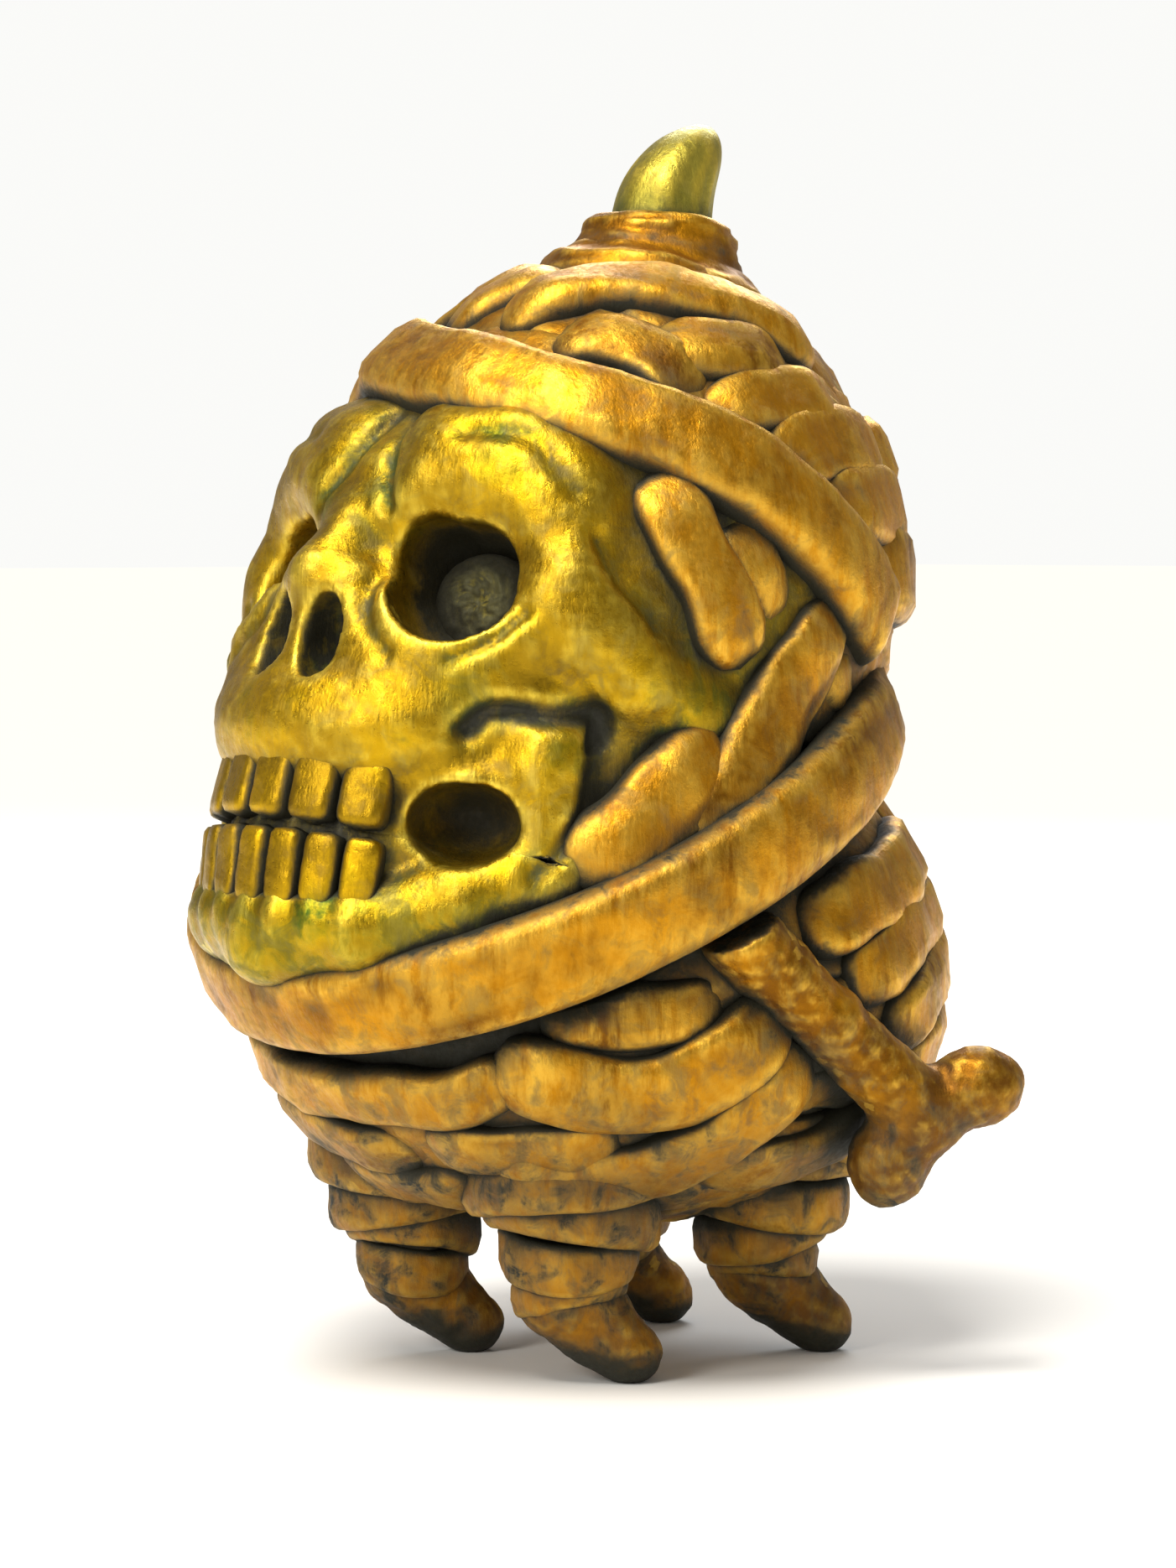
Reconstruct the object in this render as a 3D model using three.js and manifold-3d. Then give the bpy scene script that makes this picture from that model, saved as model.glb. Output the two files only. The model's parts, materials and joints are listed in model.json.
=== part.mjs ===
// A bandaged, horned skull figurine: a skull bound with straps, turning on a neck peg, over a round
// strapped body on four booted legs, with a long bone tucked under the chin band.
// Millimetres, +Z up. The face looks along -Y, and the figure's left side is +X.

import * as THREE from 'three';
import { mergeVertices } from 'three/addons/utils/BufferGeometryUtils.js';
import Module from 'manifold-3d';

const wasm = await Module();
wasm.setup();

// ---------------------------------------------------------------- driving dimensions

const HEAD_WIDTH = 37.6;             // over the straps
const HEAD_DEPTH = 39.4;
const HEAD_LENGTH = 51;              // chin to crown, along the leaning head
const HEAD_LEAN = 27;                // degrees, crown leaning back
const BODY_WIDTH = 41.2;             // over the straps
const BODY_DEPTH = 42.4;
const BODY_DROP = 14.5;              // widest level down to the belly's underside
const BODY_RISE = 22;                // widest level up to the shoulders' crest
const BELLY_CLEARANCE = 6.5;         // floor to the belly's underside

const STRAP_THICKNESS = 2.5;
const FIT_GAP = 0.4;                 // between any two pieces that lie against each other

const NECK_TILT = 27;                // degrees, the neck plane is low under the chin
const NECK_FORWARD = 2;              // the neck axis lies ahead of the body's middle
const NECK_ABOVE_BODY = 7.9;         // neck point above the body's widest level
const HEAD_ABOVE_NECK = 12.9;        // head centre above the neck point
const HEAD_BEHIND_NECK = 1.2;
const PEG_RADIUS = 5.5;
const PEG_FLANGE_RADIUS = 7;
const PEG_FLANGE_HEIGHT = 2;
const PEG_STEM_ABOVE = 4.5;          // stem above the neck plane, up to the flange
const PEG_DEPTH = 6;                 // stem below the neck plane
const SWIVEL_GAP = 0.35;             // each side of the neck plane

const CHIN_BAND_RADIUS_X = 21.5;     // outer
const CHIN_BAND_RADIUS_Y = 22.5;
const CHIN_BAND_THICKNESS = 3.2;
const CHIN_BAND_WIDTH = 5.8;
const BROW_BAND_WIDTH = 4.4;
const BROW_BAND_THICKNESS = 3.2;

const MUZZLE_WIDTH = 21;
const MUZZLE_DEPTH = 22;
const MUZZLE_HEIGHT = 24;
const MUZZLE_FORWARD = 13;           // muzzle centre ahead of the head centre
const MUZZLE_DROP = 13.5;            // muzzle centre below the head centre
const MOUTH_GAP = 0.5;
const MOUTH_DROP = 11.6;             // mouth line below the head centre, at the muzzle centre
const JAW_BACK = 9;                  // the jaw's rear cut ahead of the head centre
const TOOTH_THICKNESS = 1.6;
const TOOTH_PROUD = 0.5;             // teeth stand out of the gums
const UPPER_TOOTH_HEIGHT = 4.2;
const LOWER_TOOTH_HEIGHT = 4.2;
const UPPER_TEETH = 6;
const LOWER_TEETH = 8;
const TOOTH_ROW_HALF_ANGLE = 44;     // degrees each side of the middle

const EYE_RADIUS = 3.7;
const EYE_DEPTH = 5;
const EYE_FLOOR_THICKNESS = 1.2;
const NOSE_HOLE_RADIUS = 1.2;
const NOSE_HOLE_DEPTH = 3;
const CHEEK_HOLE_RADIUS = 2.4;
const CHEEK_HOLE_DEPTH = 2.6;

const HORN_RADIUS = 2.7;
const HORN_HEIGHT = 8.5;             // above the collar's foot level
const HORN_SWEEP = 4;                // tip behind the horn's root
const HORN_LEAN = 13;                // degrees
const HORN_ROOT_BEHIND = 6.2;        // horn root behind the head centre
const HORN_ROOT_ABOVE = 23.5;        // above the head centre
const COLLAR_TOP_RADIUS = 4.9;
const COLLAR_FOOT_RADIUS = 6.7;
const COLLAR_HEIGHT = 3.4;
const COLLAR_ROOT = 1.5;             // collar's foot below the straps that it covers

const LEG_SPREAD_X = 7;              // leg centre from the middle
const LEG_SPREAD_Y = 7.8;
const LEG_RADIUS = 3.1;
const BOOT_LENGTH = 4.6;             // half the sole's length
const BOOT_WIDTH = 3.5;              // half the sole's width
const BOOT_HEIGHT = 4.4;
const BOOT_OFFSET = 1.5;             // toe ahead of the leg's axis
const TOE_HEADING = 48;              // degrees, the toes point between the left side and the back
const ANKLE_WRAP_THICKNESS = 1.3;
const ANKLE_WRAP_HEIGHT = 2.6;

const BONE_RADIUS = 1.9;
const BONE_KNOB_RADIUS = 2.7;
const BONE_KNOB_SPREAD = 3.5;        // knob centre from the shaft's axis
const BONE_UPPER_INSET = 1.5;        // upper end inside the body's widest line
const BONE_LOWER_OUTSET = 2.2;       // lower end outside it
const BONE_UPPER_END = [BODY_WIDTH / 2 - BONE_UPPER_INSET, -4.9, 4.1];   // from the body centre
const BONE_LOWER_END = [BODY_WIDTH / 2 + BONE_LOWER_OUTSET, 7.9, -5.9];

// ---------------------------------------------------------------- derived places

const UP = new THREE.Vector3(0, 0, 1);
const SIDEWAYS = new THREE.Vector3(1, 0, 0);
const DEG = Math.PI / 180;
const FACE_LEAN = HEAD_LEAN / 2;
const STACK = FIT_GAP + STRAP_THICKNESS;
const BODY_CENTRE = new THREE.Vector3(0, 0.8, BELLY_CLEARANCE + BODY_DROP);
const NECK = new THREE.Vector3(0, -NECK_FORWARD, BODY_CENTRE.z + NECK_ABOVE_BODY);
const HEAD_CENTRE = new THREE.Vector3(0, NECK.y + HEAD_BEHIND_NECK, NECK.z + HEAD_ABOVE_NECK);
const NECK_FRAME = new THREE.Matrix4()
  .makeRotationX(NECK_TILT * DEG)
  .setPosition(NECK);

// ---------------------------------------------------------------- star-shaped surfaces

// A lobe is an ellipsoid: centre, half-lengths [x, y, z], and a lean about X in degrees, back positive.
// rise replaces the z half-length above the centre.
function lobe(centre, radii, lean, rise = radii[2]) {
  return { centre, radii, rise, turn: new THREE.Quaternion().setFromAxisAngle(SIDEWAYS, lean * DEG) };
}

// Distance from origin along a unit direction to the far side of a lobe, or 0 where it misses.
function reach(origin, direction, part) {
  const d = direction.clone().applyQuaternion(part.turn);
  const o = origin.clone().sub(part.centre).applyQuaternion(part.turn);
  const height = d.z > 0 ? part.rise : part.radii[2];
  const scale = new THREE.Vector3(1 / part.radii[0], 1 / part.radii[1], 1 / height);
  d.multiply(scale);
  o.multiply(scale);
  const a = d.dot(d);
  const b = o.dot(d);
  const c = o.dot(o) - 1;
  const root = b * b - a * c;
  return root > 0 ? Math.max((Math.sqrt(root) - b) / a, 0) : 0;
}

// A surface seen from its centre: the soft union of its lobes, plus soft bumps at a longitude and latitude.
class StarSurface {
  static SHARPNESS = 18;

  constructor(centre, lean, lobes, bumps = []) {
    this.centre = centre;
    this.turn = new THREE.Quaternion().setFromAxisAngle(SIDEWAYS, -lean * DEG);
    this.lobes = lobes;
    this.bumps = bumps;
  }

  // Longitude 0 is the front and grows towards the figure's left; latitude is up the leaning axis.
  direction(longitude, latitude) {
    const lon = longitude * DEG;
    const lat = latitude * DEG;
    const level = Math.cos(lat);
    const local = new THREE.Vector3(Math.sin(lon) * level, -Math.cos(lon) * level, Math.sin(lat));
    return local.applyQuaternion(this.turn);
  }

  radius(direction) {
    const p = StarSurface.SHARPNESS;
    let sum = 0;
    for (const part of this.lobes) sum += reach(this.centre, direction, part) ** p;
    let radius = sum ** (1 / p);
    for (const bump of this.bumps) {
      for (const side of bump.lon === 0 ? [1] : [1, -1]) {
        const aim = this.direction(side * bump.lon, bump.lat);
        const angle = Math.acos(Math.min(1, direction.dot(aim))) / DEG;
        radius += bump.height * Math.exp(-((angle / bump.spread) ** 2));
      }
    }
    return radius;
  }

  at(direction, offset) {
    return direction.clone().multiplyScalar(this.radius(direction) + offset).add(this.centre);
  }

  point(longitude, latitude, offset = 0) {
    return this.at(this.direction(longitude, latitude), offset);
  }

  // The whole surface as a closed ball.
  ball(columns, rows, offset = 0) {
    const geometry = new THREE.SphereGeometry(1, columns, rows);
    return bend(geometry, (v) => this.at(v.clone().normalize(), offset));
  }
}

// ---------------------------------------------------------------- mesh helpers

// Moves every vertex by a rule, then merges the shared ones and turns the faces out.
function bend(geometry, rule) {
  geometry.deleteAttribute('normal');
  geometry.deleteAttribute('uv');
  const merged = mergeVertices(geometry, 1e-5);
  const position = merged.attributes.position;
  const v = new THREE.Vector3();
  for (let i = 0; i < position.count; i += 1) {
    v.fromBufferAttribute(position, i);
    position.setXYZ(i, ...rule(v).toArray());
  }
  return facingOut(merged);
}

function signedVolume(geometry) {
  const position = geometry.attributes.position;
  const corner = [new THREE.Vector3(), new THREE.Vector3(), new THREE.Vector3()];
  let volume = 0;
  for (let i = 0; i < geometry.index.count; i += 3) {
    corner.forEach((v, k) => v.fromBufferAttribute(position, geometry.index.getX(i + k)));
    volume += corner[0].dot(corner[1].clone().cross(corner[2])) / 6;
  }
  return volume;
}

function facingOut(geometry) {
  if (signedVolume(geometry) < 0) {
    const index = geometry.index;
    for (let i = 0; i < index.count; i += 3) {
      const swap = index.getX(i);
      index.setX(i, index.getX(i + 1));
      index.setX(i + 1, swap);
    }
  }
  return geometry;
}

function placed(geometry, matrix) {
  return bend(geometry.clone(), (v) => v.applyMatrix4(matrix));
}

function toSolid(geometry) {
  return new wasm.Manifold(new wasm.Mesh({
    numProp: 3,
    vertProperties: new Float32Array(geometry.attributes.position.array),
    triVerts: new Uint32Array(geometry.index.array),
  }));
}

function toGeometry(solid) {
  const mesh = solid.getMesh();
  const geometry = new THREE.BufferGeometry();
  geometry.setAttribute('position', new THREE.BufferAttribute(new Float32Array(mesh.vertProperties), 3));
  geometry.setIndex(new THREE.BufferAttribute(new Uint32Array(mesh.triVerts), 1));
  return geometry;
}

function cut(geometry, ...cutters) {
  return toGeometry(cutters.reduce((left, cutter) => left.subtract(toSolid(cutter)), toSolid(geometry)));
}

function join(geometry, ...others) {
  return toGeometry(others.reduce((left, other) => left.add(toSolid(other)), toSolid(geometry)));
}

function common(geometry, other) {
  return toGeometry(toSolid(geometry).intersect(toSolid(other)));
}

// Frame whose +Z points along a direction, at a point.
function frameAlong(point, direction) {
  const turn = new THREE.Quaternion().setFromUnitVectors(UP, direction.clone().normalize());
  return new THREE.Matrix4().compose(point, turn, new THREE.Vector3(1, 1, 1));
}

function lathe(points, segments, matrix = new THREE.Matrix4()) {
  const profile = points.map(([radius, height]) => new THREE.Vector2(radius, height));
  const stand = new THREE.Matrix4().makeRotationX(Math.PI / 2);
  return placed(new THREE.LatheGeometry(profile, segments), matrix.clone().multiply(stand));
}

function ellipsoid(radii, columns, rows, matrix = new THREE.Matrix4()) {
  const size = new THREE.Matrix4().makeScale(...radii);
  const sphere = new THREE.SphereGeometry(1, columns, rows);
  return placed(sphere, matrix.clone().multiply(size));
}

function block(low, high, matrix = new THREE.Matrix4()) {
  const size = high.map((value, i) => value - low[i]);
  const middle = high.map((value, i) => (value + low[i]) / 2);
  const box = new THREE.BoxGeometry(...size);
  box.translate(...middle);
  return placed(box, matrix);
}

// ---------------------------------------------------------------- surfaces of the head and the body

const CHIN_LOBE_HEIGHT = 19;
const BAND_INSET = CHIN_BAND_THICKNESS + FIT_GAP;
const skullLobe = lobe(
  HEAD_CENTRE,
  [HEAD_WIDTH, HEAD_DEPTH, HEAD_LENGTH].map((size) => size / 2 - STACK),
  HEAD_LEAN,
);
const chinLobe = lobe(
  NECK,
  [CHIN_BAND_RADIUS_X - BAND_INSET, CHIN_BAND_RADIUS_Y - BAND_INSET, CHIN_LOBE_HEIGHT],
  -NECK_TILT,
);
const muzzleLobe = lobe(
  HEAD_CENTRE.clone().add(new THREE.Vector3(0, -MUZZLE_FORWARD, -MUZZLE_DROP)),
  [MUZZLE_WIDTH / 2, MUZZLE_DEPTH / 2, MUZZLE_HEIGHT / 2],
  FACE_LEAN,
);
const SKULL_BUMPS = [
  { lon: 0, lat: -10, spread: 34, height: 1.4 },       // the whole face stands forward
  { lon: 24, lat: 8, spread: 13, height: 2.2 },        // brow ridge
  { lon: 50, lat: -12, spread: 15, height: 2.4 },      // cheekbone
  { lon: 0, lat: -12, spread: 8, height: 2.0 },        // nose bridge
  { lon: 60, lat: -38, spread: 13, height: 1.2 },      // jaw angle
];
const skullSurface = new StarSurface(HEAD_CENTRE, HEAD_LEAN, [skullLobe, chinLobe, muzzleLobe], SKULL_BUMPS);
const headSurface = new StarSurface(HEAD_CENTRE, HEAD_LEAN, [skullLobe, chinLobe]);
const bodySurface = new StarSurface(BODY_CENTRE, 0, [
  lobe(
    BODY_CENTRE,
    [BODY_WIDTH / 2 - STACK, BODY_DEPTH / 2 - STACK, BODY_DROP - STACK],
    0,
    BODY_RISE - STACK,
  ),
]);

// ---------------------------------------------------------------- straps

// A flat strap with rounded ends, laid along (longitude, latitude) points of a surface.
// grow swells it on every side, which gives the room that it needs in its neighbours.
function strap(surface, path, width, { thickness = STRAP_THICKNESS, steps = 10, grow = 0 } = {}) {
  const points = path.map(([lon, lat]) => new THREE.Vector3(lon, lat, 0));
  const route = new THREE.CatmullRomCurve3(points, false, 'catmullrom');
  const length = path.slice(1).reduce(
    (sum, point, i) => sum + surface.point(...point).distanceTo(surface.point(...path[i])),
    0,
  );
  const middle = (t) => {
    const inside = THREE.MathUtils.clamp(t, 0, 1);
    const beyond = (t - inside) * route.getLength();
    const p = route.getPoint(inside).addScaledVector(route.getTangent(inside), beyond);
    return surface.point(p.x, p.y);
  };
  const full = width / 2 + grow;
  return bend(new THREE.CylinderGeometry(1, 1, 1, 6, steps), (v) => {
    const even = v.y + 0.5;
    const eased = (1 - Math.cos(Math.PI * even)) / 2;
    const along = (even + eased) / 2;
    const t = (along - 0.5) * (1 + 2 * grow / length) + 0.5;
    const fromEnd = Math.min(along, 1 - along) * length;
    const closing = Math.min(fromEnd / full, 1);
    const taper = 0.45 + 0.55 * Math.sqrt(1 - (1 - closing) ** 2);
    const here = middle(t);
    const ahead = middle(t + 0.01).sub(middle(t - 0.01)).normalize();
    const outward = here.clone().sub(surface.centre).normalize();
    const across = new THREE.Vector3().crossVectors(ahead, outward).normalize();
    const aim = here.addScaledVector(across, v.z * taper * full).sub(surface.centre).normalize();
    const level = FIT_GAP + thickness / 2 + v.x * taper * (thickness / 2 + grow);
    return surface.at(aim, level);
  });
}

// Lays straps one after the other: each is cut back by the room of those laid before it.
function layStraps(surface, rows, cutters, rooms) {
  const pieces = {};
  for (const { name, width, path } of rows) {
    const steps = path.length > 4 ? 16 : 8;
    pieces[name] = cut(strap(surface, path, width, { steps }), ...cutters, ...rooms);
    rooms.push(strap(surface, path, width, { steps, grow: FIT_GAP }));
  }
  return pieces;
}

// A closed elliptical band about the neck axis: outer radii, thickness, and its lower and upper level.
function neckBand(radiusX, radiusY, thickness, low, high) {
  const ring = new THREE.TorusGeometry(2, 1, 6, 44);
  return bend(ring, (v) => {
    const around = Math.atan2(v.y, v.x);
    const inward = 1 - (Math.hypot(v.x, v.y) - 2);
    const x = (radiusX - inward * thickness / 2) * Math.cos(around);
    const y = (radiusY - inward * thickness / 2) * Math.sin(around);
    const z = (low + high) / 2 + v.z * (high - low) / 2;
    return new THREE.Vector3(x, y, z).applyMatrix4(NECK_FRAME);
  });
}

// ---------------------------------------------------------------- cutters

const FAR = 60;
const CHIN_BAND_FOOT = SWIVEL_GAP + 0.1;
const CHIN_BAND_TOP = CHIN_BAND_FOOT + CHIN_BAND_WIDTH;
const belowNeck = block([-FAR, -FAR, -FAR], [FAR, FAR, SWIVEL_GAP], NECK_FRAME);
const aboveNeck = block([-FAR, -FAR, -SWIVEL_GAP], [FAR, FAR, FAR], NECK_FRAME);

// The room that the chin band takes, from its inner face outwards.
function chinBandRoom() {
  const below = 1;
  const wide = lathe([[1, 0], [3, 0], [3, 1], [1, 1], [1, 0]], 48);
  const height = CHIN_BAND_TOP + FIT_GAP + below;
  const room = new THREE.Matrix4()
    .makeScale(CHIN_BAND_RADIUS_X - BAND_INSET, CHIN_BAND_RADIUS_Y - BAND_INSET, height)
    .setPosition(0, 0, -below);
  return placed(wide, NECK_FRAME.clone().multiply(room));
}

const neckSocket = lathe([
  [0, -1],
  [PEG_RADIUS + FIT_GAP, -1],
  [PEG_RADIUS + FIT_GAP, PEG_STEM_ABOVE - FIT_GAP],
  [PEG_FLANGE_RADIUS + FIT_GAP, PEG_STEM_ABOVE - FIT_GAP],
  [PEG_FLANGE_RADIUS + FIT_GAP, PEG_STEM_ABOVE + PEG_FLANGE_HEIGHT + FIT_GAP],
  [0, PEG_STEM_ABOVE + PEG_FLANGE_HEIGHT + FIT_GAP],
], 24, NECK_FRAME);

// ---------------------------------------------------------------- skull, jaw and teeth

const EYE_PLACE = [27, -10];           // longitude and latitude on the head
const SOCKET_FLOOR_SHARE = 0.82;     // the socket's floor is narrower than its rim
const NOSE_HOLE_PLACE = [5, -23];
const CHEEK_HOLE_PLACE = [42, -44];

// Frame on the skull at a place, with +Z pointing out of the surface towards the front of the face.
function skullFrame([longitude, latitude], side, depth = 0) {
  const aim = skullSurface.direction(side * longitude, latitude);
  const outward = aim.clone().add(new THREE.Vector3(0, -0.6, 0)).normalize();
  return frameAlong(skullSurface.at(aim, 0).addScaledVector(outward, -depth), outward);
}

function eyeSocket(side) {
  const profile = [
    [0, 0],
    [EYE_RADIUS * SOCKET_FLOOR_SHARE, 0],
    [EYE_RADIUS, EYE_DEPTH],
    [EYE_RADIUS, EYE_DEPTH * 2],
    [0, EYE_DEPTH * 2],
  ];
  return lathe(profile, 16, skullFrame(EYE_PLACE, side, EYE_DEPTH));
}

function eyeFloor(side) {
  const radius = EYE_RADIUS * SOCKET_FLOOR_SHARE - FIT_GAP;
  const low = FIT_GAP;
  const crown = low + EYE_FLOOR_THICKNESS;
  const profile = [[0, low], [radius, low], [radius, low + EYE_FLOOR_THICKNESS * 0.6], [0, crown]];
  return lathe(profile, 14, skullFrame(EYE_PLACE, side, EYE_DEPTH));
}

function noseHole(side) {
  const size = [NOSE_HOLE_RADIUS, NOSE_HOLE_RADIUS * 2, NOSE_HOLE_DEPTH];
  return ellipsoid(size, 10, 8, skullFrame(NOSE_HOLE_PLACE, side, 0.3));
}

function cheekHole(side) {
  const size = [CHEEK_HOLE_RADIUS * 1.3, CHEEK_HOLE_RADIUS, CHEEK_HOLE_DEPTH];
  return ellipsoid(size, 12, 8, skullFrame(CHEEK_HOLE_PLACE, side, 0.2));
}

// Frame on the mouth line, under the muzzle's middle, with +Z along the leaning face.
const MOUTH_FRAME = new THREE.Matrix4()
  .makeRotationX(-FACE_LEAN * DEG)
  .setPosition(0, HEAD_CENTRE.y - MUZZLE_FORWARD, HEAD_CENTRE.z - MOUTH_DROP);

// The jaw's block: below the mouth line and ahead of the rear cut, grown by a margin.
function jawBlock(margin) {
  const back = MUZZLE_FORWARD - JAW_BACK;
  return block([-FAR, -FAR, -FAR], [FAR, back + margin, margin - MOUTH_GAP], MOUTH_FRAME);
}

// A row of teeth: an arched bar whose face and edge swell at each tooth. side is 1 above the mouth.
function toothRow(teeth, height, side, grow = 0) {
  const columns = grow > 0 ? 10 : teeth * 4;
  return bend(new THREE.BoxGeometry(1, 1, 1, columns, 1, 1), (v) => {
    const angle = v.x * 2 * (TOOTH_ROW_HALF_ANGLE + grow * 5) * DEG;
    const swell = grow > 0 ? 1 : Math.abs(Math.sin((v.x + 0.5) * teeth * Math.PI));
    const outward = v.y > 0 ? TOOTH_PROUD - 0.5 * (1 - swell) + grow : -TOOTH_THICKNESS - grow;
    const biting = MOUTH_GAP / 2 + 0.3 * (1 - swell);
    const rise = v.z > 0 ? height + grow : biting - grow;
    const level = side > 0 ? rise : -rise;
    return new THREE.Vector3(
      (MUZZLE_WIDTH / 2 + outward) * Math.sin(angle),
      -(MUZZLE_DEPTH / 2 + outward) * Math.cos(angle),
      level,
    ).applyMatrix4(MOUTH_FRAME);
  });
}

function makeSkullPieces() {
  const upper = [UPPER_TEETH, UPPER_TOOTH_HEIGHT, 1];
  const lower = [LOWER_TEETH, LOWER_TOOTH_HEIGHT, -1];
  const whole = cut(
    skullSurface.ball(30, 20),
    belowNeck,
    chinBandRoom(),
    neckSocket,
    browBand(FIT_GAP),
    ...jawStrapRooms(),
    toothRow(...upper, FIT_GAP),
    toothRow(...lower, FIT_GAP),
    ...[1, -1].flatMap((side) => [eyeSocket(side), noseHole(side), cheekHole(side)]),
  );
  return {
    skull: cut(whole, jawBlock(MOUTH_GAP)),
    lower_jaw: common(whole, jawBlock(0)),
    upper_teeth: toothRow(...upper),
    lower_teeth: toothRow(...lower),
    eye_floor_left: eyeFloor(1),
    eye_floor_right: eyeFloor(-1),
  };
}

// ---------------------------------------------------------------- horn and collar

const HORN_ROOT = HEAD_CENTRE.clone().add(new THREE.Vector3(0, HORN_ROOT_BEHIND, HORN_ROOT_ABOVE));
const HORN_FRAME = new THREE.Matrix4().makeRotationX(-HORN_LEAN * DEG).setPosition(HORN_ROOT);

function makeHorn() {
  const spine = new THREE.QuadraticBezierCurve3(
    new THREE.Vector3(0, 0, -6),
    new THREE.Vector3(0, HORN_SWEEP * 0.15, HORN_HEIGHT * 0.55),
    new THREE.Vector3(0, HORN_SWEEP * 0.45, HORN_HEIGHT),
  );
  const cone = bend(new THREE.CylinderGeometry(1, 1, 1, 14, 12), (v) => {
    const t = v.y + 0.5;
    const radius = HORN_RADIUS * (1 - 0.12 * t - 0.6 * t ** 5);
    const place = spine.getPoint(t);
    return place.add(new THREE.Vector3(v.x * radius, v.z * radius, 0)).applyMatrix4(HORN_FRAME);
  });
  return cut(cone, skullSurface.ball(30, 20, FIT_GAP));
}

function collarProfile(grow) {
  const inner = HORN_RADIUS + FIT_GAP + 0.2;
  const foot = -STRAP_THICKNESS - COLLAR_ROOT - grow;
  return [
    [inner, foot],
    [COLLAR_FOOT_RADIUS + grow, foot],
    [COLLAR_FOOT_RADIUS - 0.5 + grow, 0.2 + grow],
    [COLLAR_TOP_RADIUS + grow, 1 + grow],
    [COLLAR_TOP_RADIUS - 0.2 + grow, COLLAR_HEIGHT - 0.5],
    [COLLAR_TOP_RADIUS - 0.9, COLLAR_HEIGHT + grow],
    [inner, COLLAR_HEIGHT + grow],
    [inner, foot],
  ];
}

function makeCollar() {
  return cut(lathe(collarProfile(0), 20, HORN_FRAME), skullSurface.ball(30, 20, FIT_GAP));
}

function collarRoom() {
  return lathe(collarProfile(FIT_GAP), 20, HORN_FRAME);
}

// ---------------------------------------------------------------- straps of the head

// From the far right round the forehead to the left: the band rides higher on the right.
const BROW_PATH = [
  [-117, 19], [-104, 23], [-88, 27], [-66, 32], [-45, 35], [-26, 35], [-13, 31], [2, 29],
  [16, 27], [28, 26], [41, 26], [56, 27], [75, 26], [97, 22], [108, 19], [117, 17],
];
const RIGHT_RAISE = 6;               // degrees that the right crown straps lie above the left ones

const HEAD_STRAPS = [
  { name: 'jaw_strap', width: 3.8, twin: true, path: [[80, -22], [74, -33], [67, -43]] },
  { name: 'cheek_strap', width: 4.0, twin: true, path: [[98, 12], [92, -6], [88, -20], [85, -36]] },
  { name: 'temple_strap', width: 3.7, twin: true, path: [[54, 18], [66, 7], [79, -4]] },
  { name: 'temple_tuck', width: 3.0, path: [[70, 18], [84, 8]] },
  { name: 'ear_tuck', width: 2.8, path: [[108, 9], [104, 0]] },
  { name: 'crown_arc', width: 3.6, path: [[8, 43], [19, 53], [39, 58], [63, 61], [86, 61]] },
  { name: 'crown_cross_1', width: 3.6, path: [[24, 41], [40, 42], [54, 38]] },
  { name: 'crown_fan_1', width: 3.8, twin: true, raise: RIGHT_RAISE, path: [[60, 37], [72, 44], [92, 52]] },
  { name: 'crown_cross_2', width: 4.0, path: [[44, 46], [58, 49], [76, 53]] },
  { name: 'crown_fan_2', width: 4.2, twin: true, raise: RIGHT_RAISE, path: [[75, 33], [91, 43], [112, 50]] },
  { name: 'crown_fan_3', width: 4.4, twin: true, raise: RIGHT_RAISE, path: [[92, 30], [108, 38], [128, 44]] },
  { name: 'crown_front_1', width: 4.2, path: [[-15, 44], [-8, 51], [4, 58]] },
  { name: 'crown_front_2', width: 4.2, path: [[-46, 46], [-32, 53], [-12, 61]] },
  { name: 'back_strap_1', width: 5.0, path: [[112, 28], [132, 32], [158, 38], [180, 44]] },
  { name: 'back_strap_2', width: 5.2, path: [[124, 52], [160, 56], [196, 56], [230, 50]] },
  { name: 'back_strap_3', width: 5.0, path: [[186, 38], [210, 36], [232, 31], [250, 26]] },
];

function mirrored(path, raise = 0) {
  return path.map(([longitude, latitude]) => [-longitude, latitude + raise]);
}

// A strap marked twin is laid on both sides of the head.
function bothSides(rows) {
  return rows.flatMap((row) => (row.twin
    ? [
      { ...row, name: `${row.name}_left` },
      { ...row, name: `${row.name}_right`, path: mirrored(row.path, row.raise) },
    ]
    : [row]));
}

function makeHeadStraps() {
  const rooms = [browBand(FIT_GAP), collarRoom()];
  return layStraps(headSurface, bothSides(HEAD_STRAPS), [chinBandRoom()], rooms);
}

function browBand(grow = 0) {
  return strap(headSurface, BROW_PATH, BROW_BAND_WIDTH, { thickness: BROW_BAND_THICKNESS, steps: 30, grow });
}

// The rooms that the jaw straps take in the skull and the jaw.
function jawStrapRooms() {
  const { width, path } = HEAD_STRAPS.find(({ name }) => name === 'jaw_strap');
  return [path, mirrored(path)].map((route) => strap(headSurface, route, width, { steps: 8, grow: FIT_GAP }));
}

function makeChinBand() {
  return neckBand(CHIN_BAND_RADIUS_X, CHIN_BAND_RADIUS_Y, CHIN_BAND_THICKNESS, CHIN_BAND_FOOT, CHIN_BAND_TOP);
}

// ---------------------------------------------------------------- bone

const boneTop = BODY_CENTRE.clone().add(new THREE.Vector3(...BONE_UPPER_END));
const boneFoot = BODY_CENTRE.clone().add(new THREE.Vector3(...BONE_LOWER_END));
const bonePull = boneFoot.clone().sub(boneTop).normalize();
const boneLength = boneFoot.distanceTo(boneTop);
const BONE_FACING = new THREE.Vector3(0.74, -0.67, 0);   // the flat of the bone looks this way

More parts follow.
